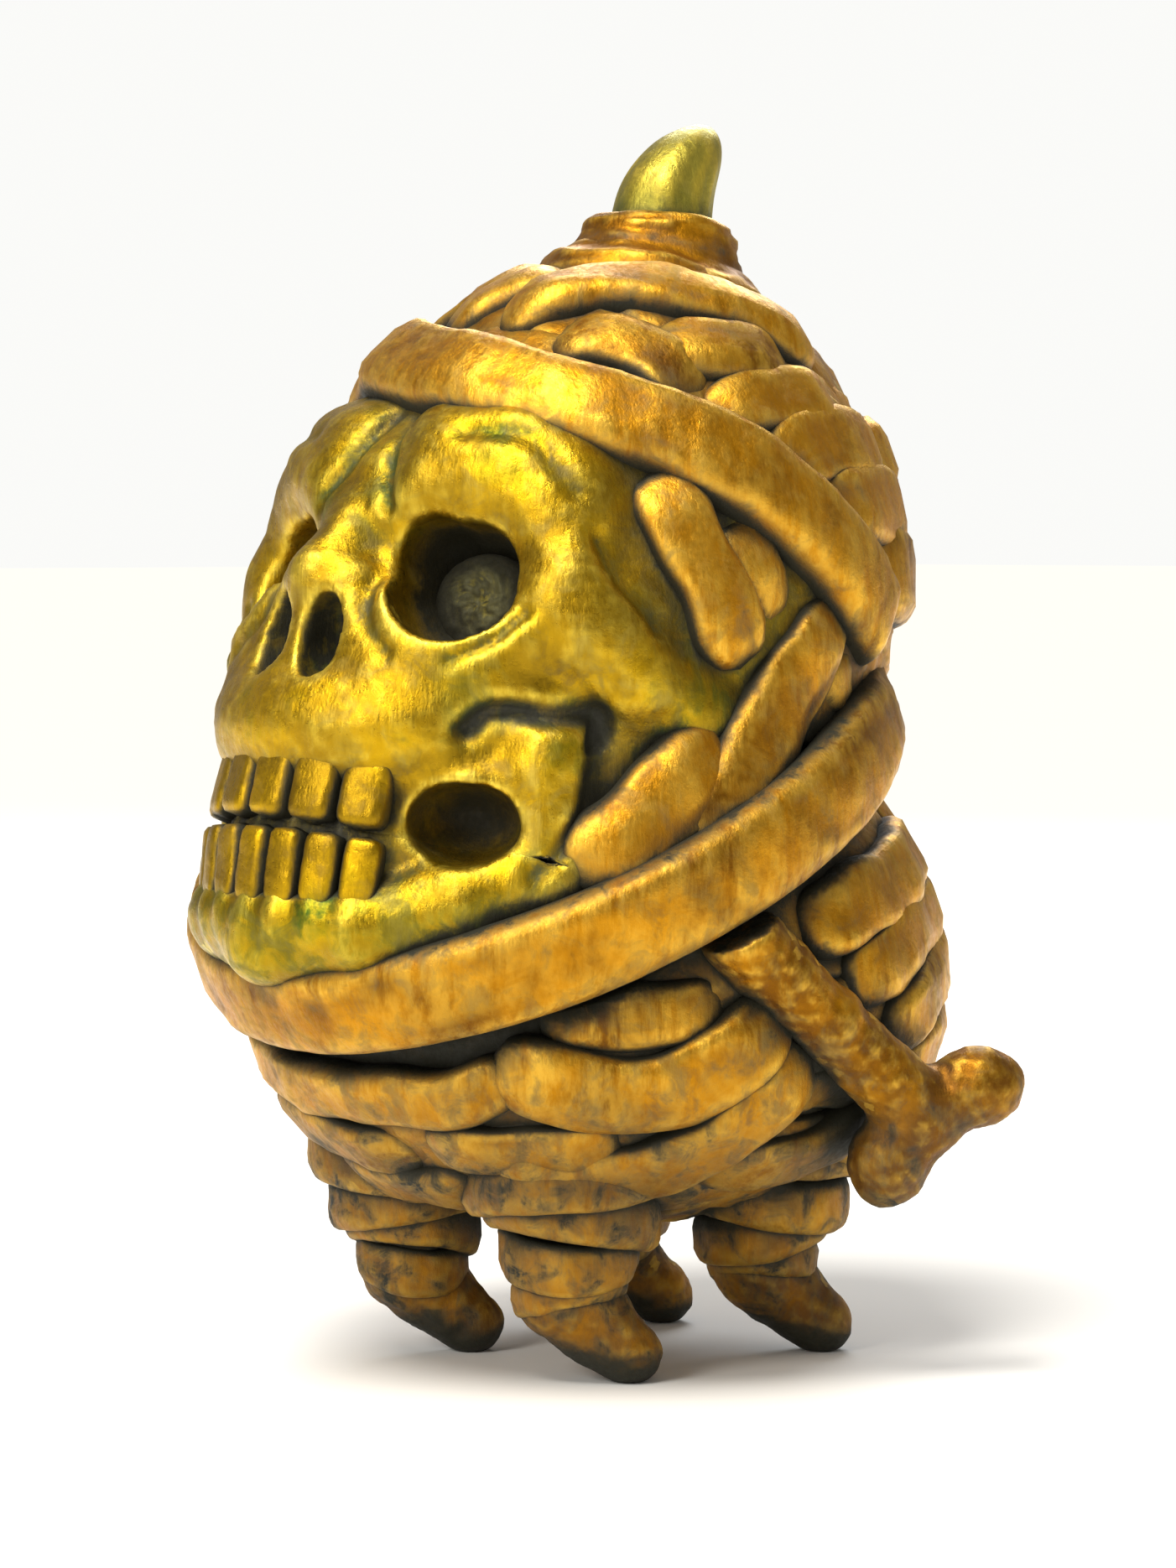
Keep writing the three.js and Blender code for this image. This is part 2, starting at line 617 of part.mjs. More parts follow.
function makeBone() {
  const frame = frameAlong(boneTop, bonePull);
  const shaft = lathe([
    [0, 0],
    [BONE_RADIUS * 0.8, 0],
    [BONE_RADIUS, 0.8],
    [BONE_RADIUS * 0.92, boneLength * 0.5],
    [BONE_RADIUS, boneLength],
    [0, boneLength],
  ], 14, frame);
  const sideways = new THREE.Vector3().crossVectors(bonePull, BONE_FACING).normalize();
  const knobs = [1, -1].map((side) => {
    const middle = boneFoot.clone()
      .addScaledVector(sideways, side * BONE_KNOB_SPREAD * 0.8)
      .addScaledVector(bonePull, 0.6);
    const outward = sideways.clone().multiplyScalar(side).addScaledVector(bonePull, 0.2);
    const size = [BONE_KNOB_RADIUS * 0.9, BONE_KNOB_RADIUS * 0.9, BONE_KNOB_RADIUS * 1.3];
    return ellipsoid(size, 12, 8, frameAlong(middle, outward));
  });
  return join(shaft, ...knobs);
}

// The groove that the bone lies in, open along its way out.
function boneGroove() {
  const radius = BONE_RADIUS + FIT_GAP;
  const profile = [[0, -FIT_GAP], [radius, -FIT_GAP], [radius, boneLength * 2], [0, boneLength * 2]];
  return lathe(profile, 16, frameAlong(boneTop, bonePull));
}

// ---------------------------------------------------------------- body, peg and body straps

function makeBodyCore() {
  const radius = PEG_RADIUS + FIT_GAP;
  const foot = -PEG_DEPTH - FIT_GAP;
  const seat = lathe([[0, 1], [radius, 1], [radius, foot], [0, foot]], 24, NECK_FRAME);
  return cut(bodySurface.ball(28, 18), aboveNeck, seat, boneGroove());
}

function makeNeckPeg() {
  const flangeFoot = PEG_STEM_ABOVE;
  const flangeTop = PEG_STEM_ABOVE + PEG_FLANGE_HEIGHT;
  return lathe([
    [0, -PEG_DEPTH],
    [PEG_RADIUS, -PEG_DEPTH],
    [PEG_RADIUS, flangeFoot],
    [PEG_FLANGE_RADIUS, flangeFoot],
    [PEG_FLANGE_RADIUS, flangeFoot + PEG_FLANGE_HEIGHT * 0.4],
    [PEG_RADIUS, flangeTop],
    [0, flangeTop],
  ], 24, NECK_FRAME);
}

const LEGS = [
  ['front_left', 1, -1],
  ['front_right', -1, -1],
  ['back_left', 1, 1],
  ['back_right', -1, 1],
];

const BODY_STRAPS = [
  { name: 'belly_strap_1', width: 3.2, path: [[-44, -7], [-22, -11], [-1, -12], [20, -12], [33, -8]] },
  { name: 'belly_strap_2', width: 4.2, path: [[33, -6], [46, -10], [58, -10], [70, -5], [77, 2]] },
  { name: 'belly_strap_5', width: 3.8, path: [[27, -28], [46, -30], [64, -25], [77, -15], [83, -5]] },
  { name: 'belly_strap_3', width: 3.6, path: [[-38, -18], [-13, -23], [6, -25]] },
  { name: 'belly_strap_4', width: 3.2, path: [[16, -22], [36, -23], [50, -20]] },
  { name: 'hip_strap', width: 4.0, path: [[-24, -33], [-5, -36], [16, -35]] },
  { name: 'waist_tuck', width: 3.4, path: [[40, 3], [54, 3], [68, 4]] },
  { name: 'shoulder_strap_1', width: 4.0, path: [[88, 17], [112, 22], [140, 28]] },
  { name: 'shoulder_strap_2', width: 3.8, path: [[97, 7], [114, 13], [140, 18]] },
  { name: 'shoulder_strap_3', width: 3.8, path: [[107, -2], [122, 4], [144, 9]] },
  { name: 'flank_strap_1', width: 3.8, path: [[114, -11], [132, -6], [150, -1]] },
  { name: 'flank_strap_2', width: 4.0, path: [[74, -30], [94, -26], [112, -20]] },
  {
    name: 'back_belt_low',
    width: 5.2,
    path: [[118, -24], [160, -25], [200, -24], [240, -25], [290, -22], [318, -20]],
  },
  {
    name: 'back_belt_mid',
    width: 5.4,
    path: [[154, -8], [185, -8], [220, -7], [255, -7], [300, -4], [316, -4]],
  },
  { name: 'back_belt_high', width: 5.4, path: [[148, 14], [190, 10], [225, 8], [262, 9], [292, 8]] },
  { name: 'shoulder_strap_back', width: 5.2, path: [[142, 34], [180, 28], [215, 24], [252, 24]] },
];

function makeBodyStraps() {
  const legRooms = LEGS.map(([, sideX, sideY]) => lathe([
    [0, 0],
    [LEG_RADIUS + FIT_GAP, 0],
    [LEG_RADIUS + FIT_GAP, BODY_CENTRE.z],
    [0, BODY_CENTRE.z],
  ], 10, new THREE.Matrix4().makeTranslation(sideX * LEG_SPREAD_X, sideY * LEG_SPREAD_Y, 0)));
  return layStraps(bodySurface, BODY_STRAPS, [aboveNeck, boneGroove()], legRooms);
}

// ---------------------------------------------------------------- legs

function makeLegs() {
  const belly = bodySurface.ball(20, 14, FIT_GAP);
  const floorCut = block([-FAR, -FAR, -FAR], [FAR, FAR, 0]);
  const ankle = BOOT_HEIGHT + ANKLE_WRAP_HEIGHT / 2 + 0.2;
  const pieces = {};
  for (const [name, sideX, sideY] of LEGS) {
    const x = sideX * LEG_SPREAD_X;
    const y = sideY * LEG_SPREAD_Y;
    const leg = lathe([
      [0, BOOT_HEIGHT * 0.4],
      [LEG_RADIUS, BOOT_HEIGHT * 0.4],
      [LEG_RADIUS, BODY_CENTRE.z],
      [0, BODY_CENTRE.z],
    ], 10, new THREE.Matrix4().makeTranslation(x, y, 0));
    const toe = new THREE.Matrix4()
      .makeRotationZ(TOE_HEADING * DEG)
      .setPosition(
        x + BOOT_OFFSET * Math.cos(TOE_HEADING * DEG),
        y + BOOT_OFFSET * Math.sin(TOE_HEADING * DEG),
        BOOT_HEIGHT * 0.4,
      );
    const boot = ellipsoid([BOOT_LENGTH, BOOT_WIDTH, BOOT_HEIGHT * 0.6], 12, 8, toe);
    pieces[`leg_${name}`] = cut(join(leg, boot), belly, floorCut);
    const wrap = bend(new THREE.TorusGeometry(2, 1, 6, 14), (v) => {
      const around = Math.atan2(v.y, v.x);
      const outward = Math.hypot(v.x, v.y) - 2;
      const radius = LEG_RADIUS + FIT_GAP + (1 + outward) * ANKLE_WRAP_THICKNESS / 2;
      return new THREE.Vector3(
        x + radius * Math.cos(around),
        y + radius * Math.sin(around),
        ankle + v.z * ANKLE_WRAP_HEIGHT / 2,
      );
    });
    pieces[`ankle_wrap_${name}`] = cut(wrap, belly);
  }
  return pieces;
}

// ---------------------------------------------------------------- finishes

const FINISHES = {
  wrap: { color: 0xc98a3c, roughness: 0.45, metalness: 0.55 },
  skull: { color: 0xb9961c, roughness: 0.42, metalness: 0.6 },
  tooth: { color: 0xc49a2a, roughness: 0.4, metalness: 0.6 },
  socket: { color: 0x4a4a2a, roughness: 0.7, metalness: 0.4 },
  horn: { color: 0xb5a93c, roughness: 0.4, metalness: 0.6 },
  bone: { color: 0xc08c40, roughness: 0.45, metalness: 0.55 },
  core: { color: 0x3a3020, roughness: 0.8, metalness: 0.2 },
  boot: { color: 0x9a6f22, roughness: 0.5, metalness: 0.5 },
};

function addPieces(group, pieces, finishOf) {
  for (const [name, geometry] of Object.entries(pieces)) {
    const mesh = new THREE.Mesh(geometry, new THREE.MeshStandardMaterial(FINISHES[finishOf(name)]));
    mesh.name = name;
    group.add(mesh);
  }
}

// ---------------------------------------------------------------- assembly

const head = new THREE.Group();
addPieces(head, makeSkullPieces(), (name) => {
  if (name.endsWith('teeth')) return 'tooth';
  return name.startsWith('eye') ? 'socket' : 'skull';
});
addPieces(head, { horn: makeHorn() }, () => 'horn');
const bands = {
  horn_collar: makeCollar(),
  brow_band: cut(browBand(), chinBandRoom()),
  chin_band: makeChinBand(),
};
addPieces(head, bands, () => 'wrap');
addPieces(head, makeHeadStraps(), () => 'wrap');

const body = new THREE.Group();
addPieces(body, { body_core: makeBodyCore(), neck_peg: makeNeckPeg() }, () => 'core');
addPieces(body, makeBodyStraps(), () => 'wrap');
addPieces(body, makeLegs(), (name) => (name.startsWith('leg') ? 'boot' : 'wrap'));
addPieces(body, { bone: makeBone() }, () => 'bone');

const figure = new THREE.Group();
figure.add(head, body);

// The origin is on the floor, under the middle of the figure's box.
const bounds = new THREE.Box3().setFromObject(figure, true);
const middle = bounds.getCenter(new THREE.Vector3());
figure.position.set(-middle.x, -middle.y, -bounds.min.z);

export default figure;
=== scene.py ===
"""A bandaged, horned skull figurine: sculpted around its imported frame, painted and set on a pale stage."""

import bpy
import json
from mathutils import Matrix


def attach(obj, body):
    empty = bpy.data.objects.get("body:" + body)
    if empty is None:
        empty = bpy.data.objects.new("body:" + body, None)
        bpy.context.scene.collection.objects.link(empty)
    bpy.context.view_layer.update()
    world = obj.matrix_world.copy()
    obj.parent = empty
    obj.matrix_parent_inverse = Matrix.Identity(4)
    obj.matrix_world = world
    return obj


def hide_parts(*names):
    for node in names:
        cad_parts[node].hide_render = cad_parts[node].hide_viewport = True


bl_info = {
    "name": "Bandaged Skull Figurine",
    "version": (1, 0, 0),
    "blender": (4, 5, 0),
    "location": "View3D > Sidebar > Figurine",
    "description": "Sculpts and paints a strapped, horned skull figurine around its frame",
    "category": "Object",
}

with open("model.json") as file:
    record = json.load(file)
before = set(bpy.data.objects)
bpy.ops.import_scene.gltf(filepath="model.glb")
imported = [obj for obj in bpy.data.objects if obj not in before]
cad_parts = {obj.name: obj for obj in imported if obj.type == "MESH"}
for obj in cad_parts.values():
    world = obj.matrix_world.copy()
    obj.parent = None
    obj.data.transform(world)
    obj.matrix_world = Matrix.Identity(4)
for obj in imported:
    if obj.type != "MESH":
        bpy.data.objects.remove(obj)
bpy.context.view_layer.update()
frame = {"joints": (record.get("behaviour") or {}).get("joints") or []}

import json
import math

import bpy
import numpy as np
from bpy.props import FloatProperty, FloatVectorProperty, PointerProperty
from mathutils import Vector

# ---------------------------------------------------------------- places, in millimetres of the frame

MM = 0.001
NECK = np.array(next(j for j in frame["joints"] if j["name"] == "neck_swivel")["pos_m"]) / MM
NECK_TILT = 27
HEAD_LEAN = 27
MOUTH_LEAN = 13.5
HEAD_CENTRE = NECK + (0, 1.2, 12.9)
BODY_CENTRE = NECK + (0, 2.8, -7.9)
MOUTH = HEAD_CENTRE + (0, -13, -11.6)
MOUTH_ARCH = (10.5, 10.9)            # half width and depth of the arch that the teeth stand on
HORN_ROOT = HEAD_CENTRE + (0, 6.2, 23.5)
HORN_LEAN = 13
CHIN_BAND_FOOT = 0.45                # lower edge of the chin band above the neck plane
CHIN_BAND_RADII = (21.5, 22.5)       # half width and half depth over the chin band
NECK_ROOM = 0.35                     # what is wound stays this far from the plane that the head turns on


# ---------------------------------------------------------------- sizes and colours

def length(name, description, default):
    return FloatProperty(name=name, description=description, default=default * MM, unit="LENGTH")


def colour(name, description, default):
    return FloatVectorProperty(name=name, description=description, default=default, size=3, subtype="COLOR")


class FigurineSizes(bpy.types.PropertyGroup):
    strap_thickness: length("Strap thickness", "How far a strap stands above what it lies on", 2.5)
    under_wrap_level: length("Under wrap level", "Crest of the lower layer of wraps", 1.7)
    chin_band_width: length("Chin band width", "Width of the band around the chin and neck", 5.8)
    chin_band_thickness: length("Chin band thickness", "Thickness of the band around the chin", 3.2)
    brow_band_width: length("Brow band width", "Width of the band across the forehead", 4.7)
    brow_band_thickness: length("Brow band thickness", "Thickness of the band across the forehead", 3.2)
    tooth_height: length("Tooth height", "Height of the front teeth", 4.8)
    horn_radius: length("Horn radius", "Radius of the horn at its foot", 3.0)
    horn_height: length("Horn height", "Horn above the foot of its collar", 9.0)
    bone_radius: length("Bone radius", "Radius of the bone's shaft", 2.1)
    leg_radius: length("Leg radius", "Radius of a leg under its wraps", 3.1)
    clay_pitch: length("Clay pitch", "Grid step of the skull and the jaw", 0.31)


class FigurineColours(bpy.types.PropertyGroup):
    wrap_deep: colour("Wrap deep", "Shaded gold of the straps", (0.22, 0.085, 0.003))
    wrap_gold: colour("Wrap gold", "Main gold of the straps", (0.58, 0.25, 0.005))
    wrap_bright: colour("Wrap bright", "Rubbed gold on the straps' crests", (0.88, 0.52, 0.06))
    skull_deep: colour("Skull deep", "Shaded gold of the skull", (0.34, 0.20, 0.006))
    skull_gold: colour("Skull gold", "Main gold of the skull", (0.68, 0.40, 0.004))
    skull_bright: colour("Skull bright", "Rubbed gold on the skull", (0.98, 0.72, 0.08))
    verdigris: colour("Verdigris", "Green in the skull's hollows", (0.07, 0.13, 0.008))
    horn_gold: colour("Horn gold", "Olive gold of the horn", (0.42, 0.35, 0.05))
    socket_grey: colour("Socket grey", "Dull grey gold in the sockets", (0.11, 0.105, 0.04))
    # The wash colour is a dark wash paint that also stands for painted shade in grooves, gaps and openings
    wash_and_shade: colour("Wash", "Dark wash in the grooves", (0.016, 0.015, 0.006))


# ---------------------------------------------------------------- turning and noise

def about_x(degrees):
    """Turns about X; a positive angle leans +Z towards +Y."""
    c, s = math.cos(math.radians(degrees)), math.sin(math.radians(degrees))
    return np.array(((1, 0, 0), (0, c, s), (0, -s, c)))


NECK_TURN = about_x(-NECK_TILT)
NECK_UP = NECK_TURN @ (0, 0, 1)


def unit(v):
    v = np.asarray(v, float)
    return v / np.linalg.norm(v, axis=-1, keepdims=True)


def frame_along(direction):
    """Columns x, y, z of a frame whose z is the direction and whose x is level."""
    z = unit(direction)
    x = unit(np.cross((0, 0, 1), z)) if abs(z[2]) < 0.99 else np.array((1.0, 0, 0))
    return np.stack((x, np.cross(z, x), z), axis=1)


def ripple(points, size, seed, octaves=2, waves=9):
    """Soft random waves over points, about -1 to 1, whose main wavelength is size."""
    rng = np.random.default_rng(seed)
    total = np.zeros(len(points))
    for octave in range(octaves):
        for _ in range(waves):
            direction = unit(rng.normal(size=3)) * rng.uniform(0.7, 1.3) / size * 2 ** octave
            total += np.sin(points @ direction * 2 * math.pi + rng.uniform(0, 6.28)) * 0.55 ** octave
    return total / (waves * 0.62)


def smooth_step(value, low, high):
    t = np.clip((value - low) / (high - low), 0, 1)
    return t * t * (3 - 2 * t)


def spline(points, count):
    """A smooth curve through points, as count places evenly spaced in the curve's own step."""
    points = np.asarray(points, float)
    padded = np.concatenate((2 * points[:1] - points[1:2], points, 2 * points[-1:] - points[-2:-1]))
    t = np.linspace(0, len(points) - 1, count)
    i = np.minimum(t.astype(int), len(points) - 2)
    u = (t - i)[:, None]
    a, b, c, d = (padded[i + k] for k in range(4))
    square, cube = 2 * a - 5 * b + 4 * c - d, 3 * b - a - 3 * c + d
    return 0.5 * (2 * b + (c - a) * u + square * u ** 2 + cube * u ** 3)


# ---------------------------------------------------------------- surfaces seen from a centre

class Shell:
    """The soft union of leaning ellipsoids, seen from a centre. Longitude 0 is the front, 90 the left."""

    SHARPNESS = 18

    def __init__(self, centre, lean, lobes):
        self.centre = np.asarray(centre, float)
        self.turn = about_x(lean)
        self.lobes = lobes

    def direction(self, longitude, latitude):
        lon, lat = np.radians(longitude), np.radians(latitude)
        local = np.stack((np.sin(lon) * np.cos(lat), -np.cos(lon) * np.cos(lat), np.sin(lat)), axis=-1)
        return local @ self.turn.T

    def radius(self, direction):
        total = 0
        for centre, radii, rise, lean in self.lobes:
            turn = about_x(lean)
            d = direction @ turn
            o = (self.centre - centre) @ turn
            tall = np.where(d[:, 2] > 0, rise, radii[2])
            size = np.stack([np.full(len(d), radii[0]), np.full(len(d), radii[1]), tall], 1)
            d, o = d / size, o / size
            a, b, c = (d * d).sum(1), (o * d).sum(1), (o * o).sum(1) - 1
            root = np.sqrt(np.maximum(b * b - a * c, 0))
            total = total + np.where(root > 0, np.maximum((root - b) / a, 0), 0) ** self.SHARPNESS
        return total ** (1 / self.SHARPNESS)

    def at(self, direction, level=0):
        return self.centre + direction * (self.radius(direction) + level)[:, None]

    def point(self, longitude, latitude, level=0):
        return self.at(np.atleast_2d(self.direction(longitude, latitude)), level)[0]


STRAP_ROOM = 2.9
HEAD_RADII = (18.8, 19.7, 25.5)       # half width, half depth and half length over the straps
HEAD_CORE = tuple(radius - STRAP_ROOM for radius in HEAD_RADII)
HEAD_LOBE = (HEAD_CENTRE, HEAD_CORE, HEAD_CORE[2], HEAD_LEAN)
CHIN_LOBE = (NECK, (17.9, 18.9, 19.0), 19.0, -NECK_TILT)
HEAD = Shell(HEAD_CENTRE, HEAD_LEAN, [HEAD_LOBE, CHIN_LOBE])
BODY = Shell(BODY_CENTRE, 0, [(BODY_CENTRE, (17.7, 18.3, 14.5 - STRAP_ROOM), 22 - STRAP_ROOM, 0)])


# ---------------------------------------------------------------- clay, as distances on a grid

class Clay:
    """A block of clay: lumps are pressed on and hollows cut away with soft edges, then it is skinned."""

    def __init__(self, low, high, pitch):
        self.low, self.pitch = np.asarray(low, float), pitch
        self.axes = [np.arange(a, b + pitch, pitch, dtype=np.float32) for a, b in zip(low, high)]
        self.field = np.full([len(a) for a in self.axes], 6.0, np.float32)

    def window(self, low, high, margin):
        cut = []
        for axis, start, end in zip(self.axes, low, high):
            first = max(np.searchsorted(axis, start - margin), 0)
            cut.append(slice(first, np.searchsorted(axis, end + margin)))
        grid = np.meshgrid(*[a[c] for a, c in zip(self.axes, cut)], indexing="ij", sparse=True)
        return tuple(cut), grid

    def press(self, shape, soft=1.0, sign=1):
        """Joins a shape (sign 1) or cuts it away (sign -1)."""
        distance, low, high = shape
        cut, grid = self.window(low, high, soft + 1.5)
        new = distance(*grid)
        old = self.field[cut] * sign
        h = np.clip(0.5 + 0.5 * (old - new) / soft, 0, 1)
        self.field[cut] = sign * (old * (1 - h) + new * h - soft * h * (1 - h))

    def carve(self, shape, soft=0.6):
        self.press(shape, soft, -1)

    def keep_above(self, point, normal):
        """Leaves only what lies on the normal's side of a plane."""
        grid = np.meshgrid(*self.axes, indexing="ij", sparse=True)
        below = -sum((g - p) * n for g, p, n in zip(grid, point, normal))
        self.field = np.maximum(self.field, below.astype(np.float32))

    def keep_inside(self, shape):
        """Leaves only what lies inside a shape."""
        grid = np.meshgrid(*self.axes, indexing="ij", sparse=True)
        self.field = np.maximum(self.field, shape[0](*grid).astype(np.float32))

    def skin(self, smoothing=2):
        """Vertices and quads of the zero surface, by averaging its crossings in each cell."""
        field = self.field
        inside = field < 0
        shape = [n - 1 for n in field.shape]
        corners = [(i, j, k) for i in (0, 1) for j in (0, 1) for k in (0, 1)]
        count = sum(
            inside[i:i + shape[0], j:j + shape[1], k:k + shape[2]].astype(np.int8)
            for i, j, k in corners
        )
        active = (count > 0) & (count < 8)
        cells = np.argwhere(active)
        number = np.full(active.shape, -1, np.int64)
        number[active] = np.arange(len(cells))
        total, crossings = np.zeros((len(cells), 3)), np.zeros(len(cells))
        for a in corners:
            for axis in range(3):
                if a[axis]:
                    continue
                b = tuple(1 if n == axis else v for n, v in enumerate(a))
                va, vb = (field[tuple((cells + c).T)].astype(float) for c in (a, b))
                crossed = (va < 0) != (vb < 0)
                t = np.where(crossed, va / np.where(crossed, va - vb, 1), 0)
                place = np.array(a) + t[:, None] * (np.array(b) - a)
                total += place * crossed[:, None]
                crossings += crossed
        verts = self.low + (cells + total / crossings[:, None]) * self.pitch
        quads = [self._faces(inside, number, axis) for axis in range(3)]
        quads = np.concatenate(quads)
        return relax(verts, quads, smoothing), quads

    @staticmethod
    def _faces(inside, number, axis):
        b, c = (axis + 1) % 3, (axis + 2) % 3
        here, ahead = [slice(1, -1)] * 3, [slice(1, -1)] * 3
        here[axis], ahead[axis] = slice(0, -1), slice(1, None)
        now, then = inside[tuple(here)], inside[tuple(ahead)]
        place = np.argwhere(now != then)
        leaving = now[tuple(place.T)]
        place[:, b] += 1
        place[:, c] += 1
        ring = []
        for step_b, step_c in ((-1, -1), (0, -1), (0, 0), (-1, 0)):
            cell = place.copy()
            cell[:, b] += step_b
            cell[:, c] += step_c
            ring.append(number[tuple(cell.T)])
        quads = np.stack(ring, 1)
        return np.where(leaving[:, None], quads, quads[:, ::-1])


def relax(verts, quads, rounds, amount=0.5):
    ends = np.concatenate([quads[:, [0, 1]], quads[:, [1, 2]], quads[:, [2, 3]], quads[:, [3, 0]]])
    near, far = np.concatenate((ends[:, 0], ends[:, 1])), np.concatenate((ends[:, 1], ends[:, 0]))
    degree = np.bincount(near, minlength=len(verts))[:, None]
    for _ in range(rounds):
        mean = np.stack([np.bincount(near, verts[far, k], len(verts)) for k in range(3)], 1) / degree
        verts = verts + (mean - verts) * amount
    return verts


def normals_of(verts, quads):
    face = np.cross(verts[quads[:, 2]] - verts[quads[:, 0]], verts[quads[:, 3]] - verts[quads[:, 1]])
    total = np.zeros_like(verts)
    for k in range(4):
        for axis in range(3):
            total[:, axis] += np.bincount(quads[:, k], face[:, axis], len(verts))
    return unit(total + 1e-12)


def egg(centre, radii, turn=None):
    """An ellipsoid's distance and box. turn's columns are its own axes."""
    centre, radii = np.asarray(centre, float), np.asarray(radii, float)
    turn = np.eye(3) if turn is None else turn

    def distance(x, y, z):
        p = (x - centre[0], y - centre[1], z - centre[2])
        own = [sum(turn[k, i] * p[k] for k in range(3)) for i in range(3)]
        near = np.sqrt(sum((o / r) ** 2 for o, r in zip(own, radii)))
        slope = np.sqrt(sum((o / r ** 2) ** 2 for o, r in zip(own, radii)))
        return near * (near - 1) / np.maximum(slope, 1e-6)

    reach = radii.max()
    return distance, centre - reach, centre + reach


def rod(start, end, start_radius, end_radius=None):
    """A round-ended rod whose radius changes evenly along it."""
    a, b = np.asarray(start, float), np.asarray(end, float)
    end_radius = start_radius if end_radius is None else end_radius
    axis = b - a
    square = axis @ axis

    def distance(x, y, z):
        p = (x - a[0], y - a[1], z - a[2])
        t = np.clip(sum(q * n for q, n in zip(p, axis)) / square, 0, 1)
        away = np.sqrt(sum((q - n * t) ** 2 for q, n in zip(p, axis)))
        return away - (start_radius + (end_radius - start_radius) * t)

    reach = max(start_radius, end_radius)
    return distance, np.minimum(a, b) - reach, np.maximum(a, b) + reach


def painted_shade_towards_feet(verts):
    """Painted shade that darkens towards the feet, from none at the body's widest level, in random patches.
    """
    patches = 0.5 + 0.5 * np.clip(ripple(verts, 5, 66, 3), -1, 1)
    return 0.80 * smooth_step(BODY_CENTRE[2] + 4 - verts[:, 2], 0, 16) * (0.55 + 0.45 * patches)


def make_object(name, verts, faces, marks=None):
    """A smooth-shaded object from millimetre vertices. marks are named values, one for each vertex."""
    mesh = bpy.data.meshes.new(name)
    faces = [list(map(int, f)) for f in faces] if isinstance(faces, list) else faces.tolist()
    mesh.from_pydata((np.asarray(verts) * MM).tolist(), [], faces)
    marks = dict(marks or {})
    # Every piece also gets the painted shade that darkens towards the feet
    marks["wash_and_shade"] = np.maximum(marks.get("wash_and_shade", 0), painted_shade_towards_feet(np.asarray(verts)))
    for key, values in marks.items():
        layer = mesh.attributes.new(key, "FLOAT", "POINT")
        layer.data.foreach_set("value", np.asarray(values, np.float32))
    mesh.shade_smooth()
    mesh.update()
    piece = bpy.data.objects.new(name, mesh)
    bpy.context.scene.collection.objects.link(piece)
    return piece


def finish_piece(piece, body, slot, material, *nodes):
    piece.data.materials.append(material)
    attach(piece, body)
    if nodes:
        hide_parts(*nodes)
    return piece


def ring_faces(rings, around, closed=False):
    """Quads of a tube of rings, with one face over each end unless it closes on itself."""
    i = np.arange(rings if closed else rings - 1)[:, None] * around
    j = np.arange(around)[None, :]
    k = (j + 1) % around
    up = (i + around) % (rings * around) if closed else i + around
    quads = np.stack([i + j, i + k, up + k, up + j], -1).reshape(-1, 4)
    faces = [list(q) for q in quads]
    if not closed:
        last = (rings - 1) * around
        faces.append(list(range(around))[::-1])
        faces.append([last + n for n in range(around)])
    return faces


SECTION_POINTS = 22


def pillow_section(power_across=0.55, power_up=0.7):
    """A strap's section as (across, up) from -1 to 1, going round."""
    turn = np.linspace(0, 2 * math.pi, SECTION_POINTS, endpoint=False)
    c, s = np.cos(turn), np.sin(turn)
    return np.sign(c) * np.abs(c) ** power_across, np.sign(s) * np.abs(s) ** power_up


